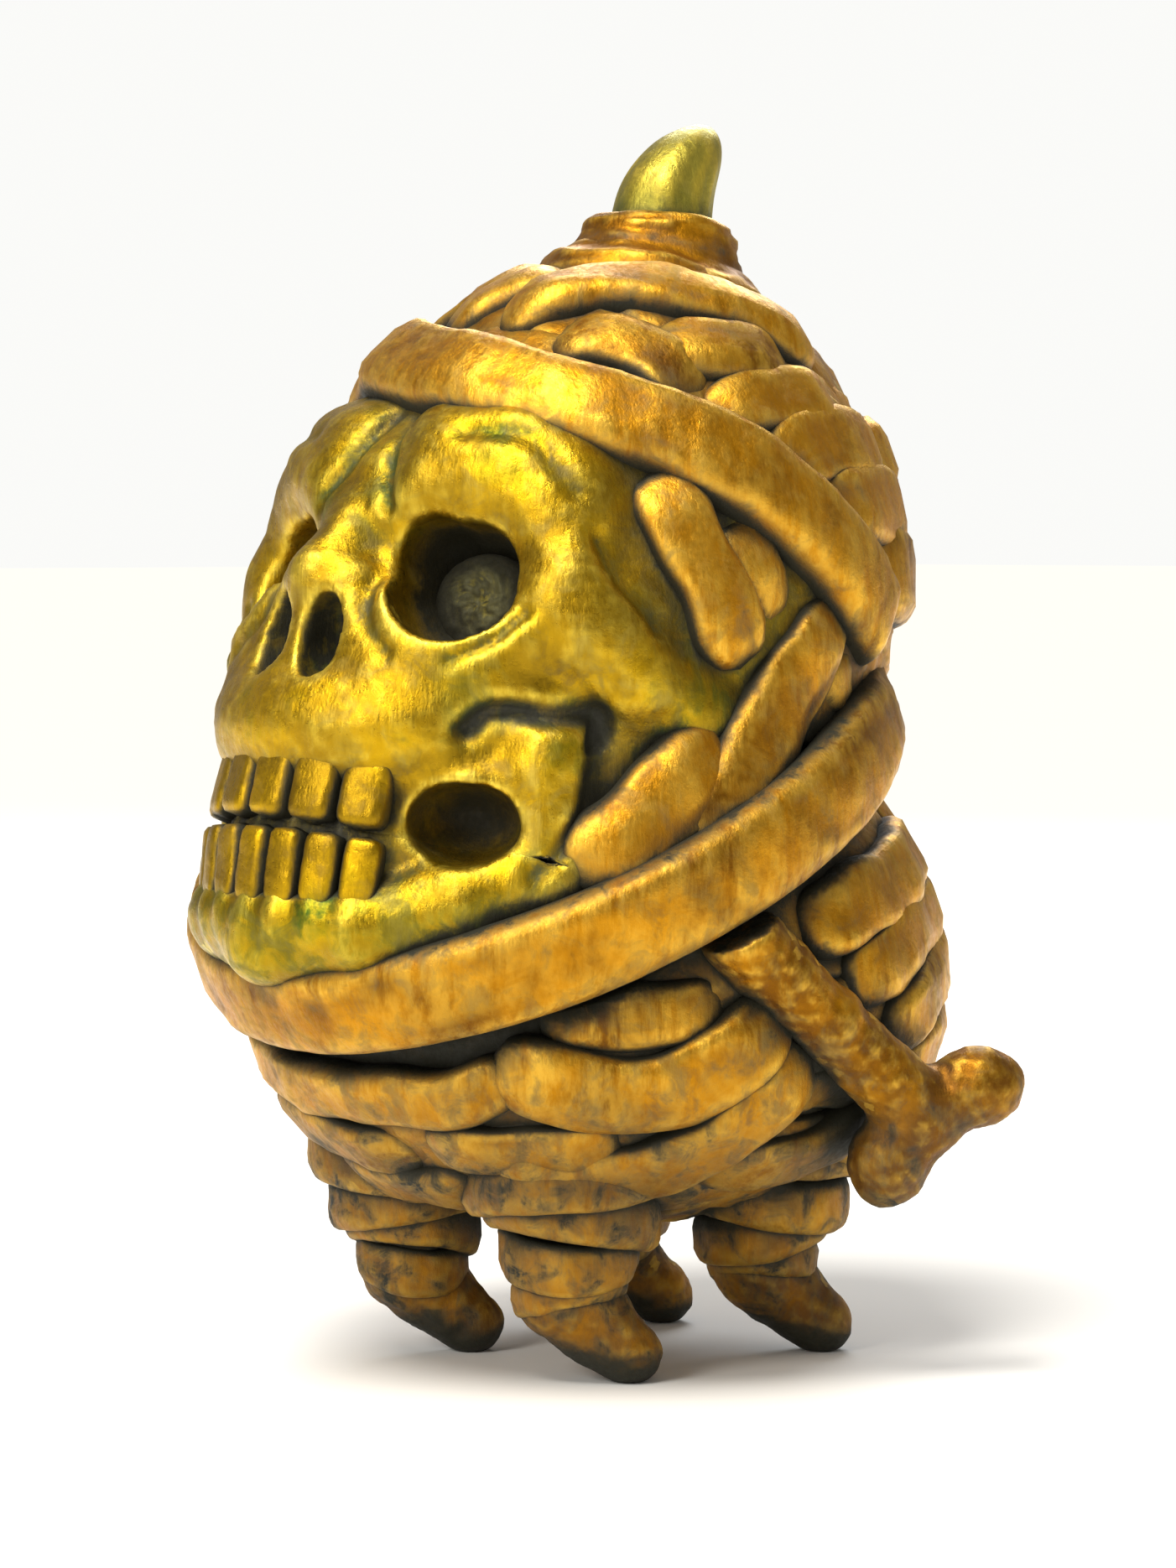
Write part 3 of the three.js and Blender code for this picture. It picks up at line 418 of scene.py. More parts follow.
def ribbon(shell, path, width, thickness, lift=0.0, seed=1, tuck=(0.6, 0.6)):
    """A pillow-like strap laid on a shell along (longitude, latitude) points: vertices, faces, marks."""
    rough = np.array([shell.point(lon, lat) for lon, lat in path])
    steps = np.linalg.norm(np.diff(rough, axis=0), axis=1)
    span = steps.sum()
    path = np.array(path, float)
    path[0] -= (path[1] - path[0]) * 0.22 * width / steps[0]
    path[-1] += (path[-1] - path[-2]) * 0.22 * width / steps[-1]
    count = max(int(span / 0.34), 14)
    curve = spline(path, count)
    line = shell.at(shell.direction(curve[:, 0], curve[:, 1]))
    forward = unit(np.gradient(line, axis=0))
    outward = unit(line - shell.centre)
    across = unit(np.cross(outward, forward))
    travelled = np.concatenate(([0], np.cumsum(np.linalg.norm(np.diff(line, axis=0), axis=1))))
    from_end = np.minimum(travelled, travelled[-1] - travelled)
    closing = np.sqrt(np.clip(1 - (1 - np.clip(from_end / (width * 0.55), 0, 1)) ** 2, 0, 1))
    sway = np.stack((travelled, np.full(count, seed * 3.7), np.zeros(count)), 1)
    half = width / 2 * (1 + 0.10 * ripple(sway, 8, seed)) * (0.2 + 0.8 * closing)
    high = thickness * (1 + 0.05 * ripple(sway, 6, seed + 1)) * (0.68 + 0.32 * closing)
    first = tuck[0] * (1 - smooth_step(travelled, 0, 3.2))
    last = tuck[1] * (1 - smooth_step(travelled[-1] - travelled, 0, 3.2))
    shift = 0.26 * ripple(sway, 7, seed + 2)
    section_across, section_up = pillow_section()
    side = section_across[None, :] * half[:, None] + shift[:, None]
    aim = line[:, None, :] + across[:, None, :] * side[..., None] - shell.centre
    aim = unit(aim).reshape(-1, 3)
    up = (section_up[None, :] * 0.5 + 0.5) * high[:, None]
    along = np.repeat(travelled, SECTION_POINTS)
    grooves = np.stack((along / 9, side.ravel() / 1.5, np.full(up.size, seed * 1.3)), 1)
    grain = np.stack((side.ravel(), along, up.ravel()), 1)
    crest = np.clip(np.tile(section_up, count), 0, 1)
    relief = crest * (0.19 * ripple(grooves, 1, seed + 3, 3) + 0.05 * ripple(grain, 1.3, seed + 4))
    level = lift + 0.1 + up.ravel() + relief - np.repeat(first + last, SECTION_POINTS)
    verts = shell.at(aim, level)
    # Painted shade mixed with a dark wash: darker at the strap's sides, most on its underside, in the dips
    # of its crest and at its tucked ends
    edge = np.abs(np.tile(section_across, count)) ** 6 * (0.55 + 0.45 * (np.tile(section_up, count) < 0.3))
    dip_shade_and_wear = np.clip(-relief * 5 - 0.15, 0, 0.8)
    ends = 0.55 * np.repeat(1 - smooth_step(from_end, 0, 0.9), SECTION_POINTS)
    wash_and_shade = np.clip(np.maximum(np.maximum(edge * 0.9, dip_shade_and_wear * 0.6), ends), 0, 1)
    tone = np.full(len(verts), np.random.default_rng(seed).uniform(0, 1))
    return verts, ring_faces(count, SECTION_POINTS), {"wash_and_shade": wash_and_shade, "tone": tone}


def joined(parts):
    """Several (vertices, faces, marks) as one."""
    verts, faces, marks, start = [], [], {}, 0
    for v, f, m in parts:
        verts.append(v)
        faces += [[n + start for n in face] for face in f]
        for key, values in m.items():
            marks.setdefault(key, []).append(values)
        start += len(v)
    return np.concatenate(verts), faces, {key: np.concatenate(values) for key, values in marks.items()}


# ---------------------------------------------------------------- paint

class Paint:
    """Adds and wires the nodes of one material."""

    def __init__(self, name):
        self.material = bpy.data.materials.new(name)
        self.material.use_nodes = True
        self.nodes, self.links = self.material.node_tree.nodes, self.material.node_tree.links
        self.shader = self.nodes["Principled BSDF"]
        self.place = self.nodes.new("ShaderNodeTexCoord").outputs["Object"]

    def wire(self, value, socket):
        if isinstance(value, bpy.types.NodeSocket):
            self.links.new(value, socket)
        elif value is not None:
            socket.default_value = value

    def noise(self, scale, detail=3.0, roughness=0.55, stretch=None, distortion=0.0):
        node = self.nodes.new("ShaderNodeTexNoise")
        place = self.place
        if stretch:
            mapping = self.nodes.new("ShaderNodeMapping")
            self.links.new(place, mapping.inputs["Vector"])
            mapping.inputs["Scale"].default_value = stretch
            mapping.inputs["Rotation"].default_value = (0.5, 0.35, 0.2)
            place = mapping.outputs["Vector"]
        self.links.new(place, node.inputs["Vector"])
        node.inputs["Scale"].default_value = scale
        node.inputs["Detail"].default_value = detail
        node.inputs["Roughness"].default_value = roughness
        node.inputs["Distortion"].default_value = distortion
        return node.outputs["Fac"]

    def math(self, operation, a, b=None, clamp=False):
        node = self.nodes.new("ShaderNodeMath")
        node.operation, node.use_clamp = operation, clamp
        self.wire(a, node.inputs[0])
        self.wire(b, node.inputs[1])
        return node.outputs[0]

    def range(self, value, low, high, to_low=0.0, to_high=1.0):
        node = self.nodes.new("ShaderNodeMapRange")
        node.interpolation_type = "SMOOTHSTEP"
        keys = ("Value", "From Min", "From Max", "To Min", "To Max")
        for key, v in zip(keys, (value, low, high, to_low, to_high)):
            self.wire(v, node.inputs[key])
        return node.outputs["Result"]

    def mix(self, factor, a, b):
        node = self.nodes.new("ShaderNodeMix")
        node.data_type = "RGBA"
        sockets = {s.identifier: s for s in node.inputs}
        self.wire(factor, sockets["Factor_Float"])
        for key, v in (("A_Color", a), ("B_Color", b)):
            self.wire(v if isinstance(v, bpy.types.NodeSocket) else (*v, 1), sockets[key])
        return next(s for s in node.outputs if s.identifier == "Result_Color")

    def mark(self, name):
        node = self.nodes.new("ShaderNodeAttribute")
        node.attribute_name = name
        return node.outputs["Fac"]

    def occlusion(self, distance):
        node = self.nodes.new("ShaderNodeAmbientOcclusion")
        node.samples = 6
        node.inputs["Distance"].default_value = distance * MM
        return node.outputs["AO"]

    def pointiness(self):
        return self.nodes.new("ShaderNodeNewGeometry").outputs["Pointiness"]


def antique(name, deep, gold, bright, wash_and_shade, verdigris=None, metal=0.93, gloss=0.34, green=0.6, occlusion_shade=1.0):
    """A mottled metal paint with rubbed crests, a dark wash with painted shade from ambient occlusion in its
    grooves, and green in its hollows.
    """
    paint = Paint(name)
    broad = paint.noise(210, 4, 0.6)
    patch = paint.noise(520, 5, 0.65, distortion=0.6)
    fine = paint.noise(2600, 6, 0.7)
    brush = paint.noise(900, 4, 0.7, stretch=(1, 1, 0.16))
    shade = paint.math("ADD", broad, paint.math("MULTIPLY", paint.mark("tone"), 0.25))
    base = paint.mix(paint.range(shade, 0.38, 0.72), tuple(deep), tuple(gold))
    crests = paint.math("ADD", paint.pointiness(), paint.math("MULTIPLY", patch, 0.055))
    rubbed = paint.range(crests, 0.522, 0.572)
    base = paint.mix(paint.math("MULTIPLY", rubbed, paint.range(brush, 0.3, 0.6)), base, tuple(bright))
    open_sky = paint.occlusion(3.2)
    if verdigris is not None:
        hollow = paint.math("ADD", paint.mark("green"), paint.range(open_sky, 0.95, 0.45, 0.0, 0.8))
        stain = paint.math("MULTIPLY", hollow, paint.range(patch, 0.36, 0.62, 0.25, 1.0))
        stain = paint.math("ADD", stain, paint.range(broad, 0.56, 0.75, 0.0, green), clamp=True)
        base = paint.mix(stain, base, tuple(verdigris))
    # Painted shade: ambient occlusion and the wash and shade mark darken the paint towards the wash colour,
    # with random patches of grime
    marked_wash_and_shade = paint.math("MULTIPLY", paint.mark("wash_and_shade"), 0.85)
    grime_and_shade = paint.math("ADD", paint.range(open_sky, 0.95, 0.50, 0.0, occlusion_shade), marked_wash_and_shade)
    grime_and_shade = paint.math("ADD", grime_and_shade, paint.range(patch, 0.42, 0.66, -0.06, 0.34))
    grime_and_shade = paint.math("MULTIPLY", grime_and_shade, paint.range(brush, 0.3, 0.7, 0.8, 1.2), clamp=True)
    base = paint.mix(grime_and_shade, base, tuple(wash_and_shade))
    paint.wire(base, paint.shader.inputs["Base Color"])
    paint.wire(paint.range(grime_and_shade, 0.1, 0.9, metal, 0.1), paint.shader.inputs["Metallic"])
    dip_shade_and_wear = paint.range(fine, 0.3, 0.7, gloss - 0.06, gloss + 0.12)
    rough = paint.math("ADD", dip_shade_and_wear, paint.math("MULTIPLY", grime_and_shade, 0.35), clamp=True)
    paint.wire(rough, paint.shader.inputs["Roughness"])
    bump = paint.nodes.new("ShaderNodeBump")
    height = paint.math("ADD", paint.math("MULTIPLY", fine, 0.35), paint.math("MULTIPLY", brush, 0.65))
    paint.wire(height, bump.inputs["Height"])
    bump.inputs["Strength"].default_value = 0.8
    bump.inputs["Distance"].default_value = 0.15 * MM
    paint.links.new(bump.outputs["Normal"], paint.shader.inputs["Normal"])
    return paint.material


MATERIALS = {}


def finish(name):
    """The material of a finish, made once."""
    c = bpy.context.scene.figurine_colours
    if name not in MATERIALS:
        strap = (c.wrap_deep, c.wrap_gold, c.wrap_bright, c.wash_and_shade)
        bone = (c.skull_deep, c.skull_gold, c.skull_bright, c.wash_and_shade, c.verdigris)
        horn = (c.horn_gold, c.horn_gold, c.skull_bright, c.wash_and_shade, c.verdigris)
        socket = (c.socket_grey, c.socket_grey, c.horn_gold, c.wash_and_shade)
        makers = {
            "wrap": lambda: antique("strap_gold_paint", *strap),
            # The layer under the straps gets more painted shade from ambient occlusion
            "under": lambda: antique("under_wrap_paint", *strap, occlusion_shade=1.3),
            "skull": lambda: antique("skull_gold_paint", *bone, gloss=0.3),
            "tooth": lambda: antique("tooth_gold_paint", *bone, gloss=0.3, green=0.3),
            "horn": lambda: antique("horn_olive_paint", *horn, gloss=0.33, green=0.35),
            "socket": lambda: antique("socket_grey_paint", *socket, metal=0.5, gloss=0.5),
            "bone": lambda: antique("bone_gold_paint", *strap),
            "boot": lambda: antique("boot_gold_paint", *strap, gloss=0.38),
        }
        MATERIALS[name] = makers[name]()
    return MATERIALS[name]


# ---------------------------------------------------------------- skull

FACE = Shell(HEAD_CENTRE, HEAD_LEAN, [(HEAD_CENTRE, HEAD_RADII, HEAD_RADII[2], HEAD_LEAN)])
JAW_LAP = 0.7                        # how far the jaw reaches past its cut, so that no crack shows
FACE_REACH = 20                      # from the head's centre to the face, for widths along it
CREASES = [   # (depth, width, line of (longitude, latitude)), pressed into both sides of the face
    (0.95, 1.5, [(37, -33), (40, -29.5), (49, -27), (58, -25), (61, -29)]),
    (0.45, 1.2, [(3, 20), (4.5, 10), (9, 0)]),
    (0.40, 1.1, [(31, -23), (36, -19), (40, -13)]),
    (0.34, 1.8, [(20, 14), (31, 15), (41, 9)]),
    (0.40, 1.6, [(48, 3), (54, -2), (62, -6)]),
    (0.35, 1.2, [(12, -14), (14, -20), (20, -24)]),
    (0.50, 1.5, [(61, -29), (63, -38), (58, -46)]),
]
BROW_RIDGE = [   # (longitude, latitude, proud, radius)
    (9, 2, 0.0, 1.7), (14, 7, 0.3, 2.0), (21, 10, 0.3, 2.2), (29, 10, 0.2, 2.2),
    (36, 7, 0.2, 2.2), (42, 1, 0.3, 2.2), (44, -5, 0.4, 2.2),
]
SOCKET_RIM = [
    (44, -8, 0.5, 1.8), (40, -18, 0.3, 1.8), (32, -23, 0.3, 1.6), (23, -22, 0.5, 1.5), (15, -17, 0.6, 1.5),
]


def face(longitude, latitude, proud, radius):
    """The centre of a lump of that radius whose crest stands proud of the face, from the head's centre."""
    return FACE.point(longitude, latitude, proud - radius) - HEAD_CENTRE


def ridge(stations, soft):
    """Rods between stations of (longitude, latitude, proud, radius)."""
    for a, b in zip(stations[:-1], stations[1:]):
        yield "rod", (face(*a), face(*b), a[3], b[3]), soft


def lump(longitude, latitude, proud, radius, soft=1.6):
    return "egg", (face(longitude, latitude, proud, radius), (radius, radius, radius)), soft


def skull_lumps():
    """The bone forms of one side: (kind, numbers, softness), from the head's centre, in millimetres."""
    yield from ridge(BROW_RIDGE, 1.3)
    yield lump(26, 16, 0.9, 4.6)
    yield lump(37, 12, 0.5, 4.4)
    yield lump(13, 15, 0.4, 3.6)
    yield lump(46, -7, 0.9, 2.8)
    yield lump(54, -11, 0.8, 3.0)
    yield from ridge([(50, -14, 0.5, 2.8), (63, -17, 0.1, 2.5), (78, -18, -0.4, 2.3)], 1.4)
    yield from ridge(SOCKET_RIM, 1.0)
    yield lump(30, -28, 0.4, 4.2)
    yield lump(40, -30, 0.0, 4.0, 1.2)
    yield lump(18, -26, 1.0, 3.4)
    yield from ridge([(50, -31, 0.1, 3.0), (53, -37, 0.8, 3.0)], 0.7)
    yield "rod", (face(53, -37, 0.8, 3.0), (12.8, -13.6, -11.8), 3.0, 2.7), 0.9
    yield "rod", ((12.8, -13.6, -11.8), (9.8, -17.2, -13.6), 2.7, 2.5), 0.9
    yield "rod", ((9.8, -17.4, -13.4), (5.8, -21.2, -14.9), 2.6, 2.5), 0.8
    yield "rod", ((5.8, -21.2, -14.9), (0.0, -23.2, -15.7), 2.5, 2.5), 0.8
    yield "egg", ((8.2, -14.9, -8.8), (4.7, 4.7, 5.0)), 1.0
    yield "rod", ((1.9, -18.9, 4.2), (3.9, -19.4, -1.2), 1.3, 1.5), 1.0


def skull_middle():
    yield "rod", ((0, -14.0, 9.6), (0, -15.8, 7.4), 2.6, 2.2), 1.8
    yield "rod", ((0, -16.4, 7.2), (0, -19.6, 4.9), 1.9, 1.75), 1.4
    yield "egg", ((0, -17.4, 1.2), (4.7, 4.1, 5.4)), 1.2
    yield "egg", ((0, -14.2, -3.8), (11.2, 9.8, 6.4)), 1.6
    yield "egg", ((0, -13.2, -10.6), (9.8, 10.6, 6.4)), 1.0


def skull_hollows():
    """The openings of one side: (centre, half sizes across, deep and tall, outward direction, softness)."""
    yield face(25.5, -11, -1.8, 0), (3.7, 6.2, 3.7), (0.40, -0.91, 0.12), 0.3
    yield face(19, -6.6, -1.6, 0), (2.3, 5.4, 2.2), (0.34, -0.93, 0.12), 0.4
    yield (1.95, -20.9, 1.3), (1.30, 2.7, 2.6), (0.22, -0.97, 0.10), 0.35
    yield (10.3, -17.8, -9.0), (3.3, 4.6, 2.35), (0.62, -0.78, 0.0), 0.4


def sculpt_skull(pitch):
    """The skull, then the jaw, both cut from one block, from the head's centre."""
    clay = Clay((-20.5, -27, -24), (20.5, 20, 26), pitch)
    lean = about_x(HEAD_LEAN)
    clay.press(egg((0, 0, 0), (17.5, 18.4, 24.1), lean), 0.5)
    clay.press(egg(NECK - HEAD_CENTRE, (17.9, 18.9, 17.5), about_x(-NECK_TILT)), 1.5)
    shapes = {"rod": rod, "egg": egg}
    for kind, numbers, soft in skull_middle():
        clay.press(shapes[kind](*numbers), soft)
    for kind, numbers, soft in skull_lumps():
        for sign in (1, -1):
            places = 2 if kind == "rod" else 1
            mirrored = [np.multiply(place, (sign, 1, 1)) for place in numbers[:places]]
            clay.press(shapes[kind](*mirrored, *numbers[places:]), soft)
    for tooth in tooth_places(UPPER):
        root = (tooth["centre"] + tooth["up"] * 3.0 - tooth["out"] * 0.35) - HEAD_CENTRE
        clay.press(egg(root, (1.15, 1.35, 2.0)), 0.9)
    for tooth in tooth_places(LOWER):
        root = (tooth["centre"] - tooth["up"] * 2.7 - tooth["out"] * 0.3) - HEAD_CENTRE
        clay.press(egg(root, (1.15, 1.35, 1.7)), 0.9)
    for centre, radii, outward, soft in skull_hollows():
        for sign in (1, -1):
            turn = frame_along(np.multiply(outward, (sign, 1, 1)))[:, [0, 2, 1]]
            clay.carve(egg(np.multiply(centre, (sign, 1, 1)), radii, turn), soft)
    clay.keep_above(NECK - HEAD_CENTRE + NECK_UP * 0.4, NECK_UP)
    whole = clay.field.copy()
    clay.carve(jaw_block(0.05), 0.1)
    yield "skull", clay.skin()
    clay.field = whole
    clay.keep_inside(jaw_block(JAW_LAP))
    yield "lower_jaw", clay.skin()


def jaw_block(slack):
    """Everything under the mouth and ahead of the jaw's rear cut, as (distance, low, high)."""
    turn = about_x(MOUTH_LEAN)
    root = MOUTH - HEAD_CENTRE

    def distance(x, y, z):
        back = (x - root[0]) * turn[0, 1] + (y - root[1]) * turn[1, 1] + (z - root[2]) * turn[2, 1]
        up = (x - root[0]) * turn[0, 2] + (y - root[1]) * turn[1, 2] + (z - root[2]) * turn[2, 2]
        return np.maximum(back - 4, up + 0.2) - slack

    return distance, np.array((-30.0, -40, -40)), np.array((30.0, 10, 10))


def press_creases(verts, quads):
    """Narrow grooves along the face's lines; returns the vertices and how deep each lies in one."""
    normals = normals_of(verts, quads)
    local = unit(verts - HEAD_CENTRE)
    depth = np.zeros(len(verts))
    for deep, wide, path in CREASES:
        line = spline(path, 40)
        for side in (1, -1):
            aims = HEAD.direction(line[:, 0] * side, line[:, 1])
            near = np.max(local @ aims.T, axis=1)
            away = np.arccos(np.clip(near, -1, 1)) * FACE_REACH
            depth = np.maximum(depth, deep * np.exp(-(away / (wide * 0.42)) ** 2))
    dents = 0.07 * ripple(verts, 5, 11) + 0.035 * ripple(verts, 1.8, 12)
    return verts + normals * (dents - depth)[:, None], depth


def green_of(verts):
    """More green low in the face, beside the nose and along the openings' edge."""
    local = (verts - HEAD_CENTRE) @ about_x(HEAD_LEAN)
    lon = np.degrees(np.arctan2(np.abs(local[:, 0]), -local[:, 1]))
    green = 0.5 * np.exp(-((lon - 6) / 5) ** 2 - ((local[:, 2] - 0.5) / 4) ** 2)
    green += 0.6 * np.exp(-((lon - 78) / 9) ** 2)
    green += 0.45 * np.exp(-((lon - 34) / 6) ** 2 - ((local[:, 2] + 9.5) / 3) ** 2)
    return green + 0.5 * smooth_step(-local[:, 2], 16, 21)


# ---------------------------------------------------------------- teeth

UPPER = {"count": 6, "angles": (43, -52), "side": 1, "gap": 0.12}
LOWER = {"count": 8, "angles": (44, -54), "side": -1, "gap": 0.12}
TOOTH_RINGS, TOOTH_AROUND = 17, 28


def tooth_places(row):
    """Where each tooth of a row stands on the arch of the mouth."""
    turn = about_x(MOUTH_LEAN)
    up = turn @ (0, 0, 1)
    height = bpy.context.scene.figurine_sizes.tooth_height / MM
    places = []
    edges = np.linspace(*row["angles"], row["count"] + 1)
    for low, high in zip(edges[:-1], edges[1:]):
        angle = math.radians((low + high) / 2)
        out = turn @ np.array((math.sin(angle), -math.cos(angle), 0))
        tall = height * (1 - 0.16 * abs(math.sin(angle)))
        arch = np.array((MOUTH_ARCH[0] * math.sin(angle), -MOUTH_ARCH[1] * math.cos(angle), 0))
        ring = turn @ arch
        centre = MOUTH + ring + up * row["side"] * (row["gap"] + tall / 2)
        wide = math.radians(abs(high - low)) * MOUTH_ARCH[1] * 0.96
        places.append({"centre": centre, "out": out, "up": up, "tall": tall, "wide": wide})
    return places


def make_tooth(place, side, seed):
    """One tooth: a soft block, narrower at its root, with a crowned face."""
    across = np.cross(place["up"], place["out"])
    u = np.linspace(0, 2 * math.pi, TOOTH_AROUND, endpoint=False)
    rings = []
    for t in np.linspace(-1, 1, TOOTH_RINGS):
        close = max(1 - abs(t) ** 7, 0.0) ** 0.42 * 0.97 + 0.03
        taper = 1 - 0.13 * max(t, 0) ** 2
        x = np.sign(np.cos(u)) * np.abs(np.cos(u)) ** 0.5 * place["wide"] / 2 * close * taper
        y = np.sign(np.sin(u)) * np.abs(np.sin(u)) ** 0.62 * 1.05 * close * (1 - 0.2 * t)
        z = t * place["tall"] / 2 * side
        rings.append(place["centre"] + x[:, None] * across + y[:, None] * place["out"] + z * place["up"])
    verts = np.concatenate(rings)
    verts = verts + 0.05 * ripple(verts, 1.6, seed)[:, None] * place["out"]
    faces = ring_faces(TOOTH_RINGS, TOOTH_AROUND)
    if side < 0:
        faces = [f[::-1] for f in faces]
    t = np.repeat(np.linspace(-1, 1, TOOTH_RINGS), TOOTH_AROUND)
    # Painted shade: darker at each tooth's sides, between the teeth, and towards its root
    sides = np.abs(np.tile(np.cos(u), TOOTH_RINGS)) ** 6
    wash_and_shade = np.clip(0.55 * sides + 0.4 * smooth_step(t, 0.75, 1), 0, 0.8)
    return verts, faces, {"wash_and_shade": wash_and_shade, "green": 0.6 * smooth_step(t, 0.5, 1.0)}


def make_tooth_row(name, row, seed):
    places = tooth_places(row)
    verts, faces, marks = joined([make_tooth(p, row["side"], seed + n) for n, p in enumerate(places)])
    piece = make_object(name + "_row", verts, faces, marks)
    return finish_piece(piece, "head", "tooth", finish("tooth"), name)


# ---------------------------------------------------------------- operators of the head

class FigurineOperator:
    bl_options = {"REGISTER", "UNDO"}

    @staticmethod
    def sizes():
        return bpy.context.scene.figurine_sizes

    @staticmethod
    def mm(value):
        return value / MM


class FIGURINE_OT_skull(FigurineOperator, bpy.types.Operator):
    """Sculpts the skull and the jaw, and presses the creases into them"""

    bl_idname = "figurine.skull"
    bl_label = "Skull and jaw"

    def execute(self, context):
        for name, (verts, quads) in sculpt_skull(self.mm(self.sizes().clay_pitch)):
            verts, depth = press_creases(verts + HEAD_CENTRE, quads)
            away = verts - HEAD_CENTRE
            # Painted shade: darker in the creases and deep in the openings below the face
            sunk = smooth_step(FACE.radius(unit(away)) - np.linalg.norm(away, axis=1), 2.0, 4.6)
            wash_and_shade = np.clip(np.maximum(depth * 1.3 - 0.2, 0.95 * sunk), 0, 0.95)
            marks = {"green": np.clip(green_of(verts) + depth * 1.2, 0, 1), "wash_and_shade": wash_and_shade}
            piece = make_object(name + "_bone", verts, quads, marks)
            finish_piece(piece, "head", "skull", finish("skull"), name)
        return {"FINISHED"}


class FIGURINE_OT_teeth(FigurineOperator, bpy.types.Operator):
    """Sets both rows of teeth"""

    bl_idname = "figurine.teeth"
    bl_label = "Teeth"

    def execute(self, context):
        make_tooth_row("upper_teeth", UPPER, 40)
        make_tooth_row("lower_teeth", LOWER, 60)
        return {"FINISHED"}


PLUG_RINGS, PLUG_AROUND = 20, 48


class FIGURINE_OT_sockets(FigurineOperator, bpy.types.Operator):
    """Lays the rough floors in the eye sockets"""

    bl_idname = "figurine.sockets"
    bl_label = "Socket floors"

    def execute(self, context):
        for name, sign in (("left", 1), ("right", -1)):
            outward = unit(np.array((0.40 * sign, -0.91, 0.12)))
            turn = frame_along(outward)
            centre = HEAD_CENTRE + np.multiply(face(26, -12.2, -5.6, 0), (sign, 1, 1))
            turns = np.linspace(0, 2 * math.pi, PLUG_AROUND, endpoint=False)
            r, a = np.meshgrid(np.linspace(0.04, 1, PLUG_RINGS), turns, indexing="ij")
            dome = 0.9 * np.sqrt(np.clip(1 - r ** 3, 0, 1))
            local = np.stack((3.2 * r * np.cos(a), 3.0 * r * np.sin(a), dome), -1).reshape(-1, 3)
            verts = centre + local @ turn.T
            verts = verts + outward * (0.14 * ripple(verts, 0.9, 70, 3))[:, None]
            back = verts[-PLUG_AROUND:] - outward * 1.2
            verts = np.concatenate((verts, back))
            faces = ring_faces(PLUG_RINGS + 1, PLUG_AROUND)
            # Painted shadow towards the socket's rim, and dark on the back ring
            shadow = 0.25 + 0.5 * smooth_step(r.ravel(), 0.5, 1)
            marks = {"wash_and_shade": np.concatenate((shadow, np.full(PLUG_AROUND, 0.9)))}
            piece = make_object("socket_plug_" + name, verts, faces, marks)
            finish_piece(piece, "head", "socket", finish("socket"), "eye_floor_" + name)
        return {"FINISHED"}


COLLAR_OUTLINE = [   # (radius, height) about the horn's axis, from the inside over the rim to the foot
    (2.8, -1.2), (2.9, 1.2), (3.3, 2.0), (4.0, 2.15), (4.5, 1.7), (4.7, 0.9),
    (5.0, 0.1), (5.6, -0.5), (6.4, -1.1), (7.0, -2.1), (7.2, -3.1), (6.4, -4.2),
]


HORN_RINGS, HORN_AROUND = 60, 48
COLLAR_RINGS, COLLAR_AROUND = 44, 110


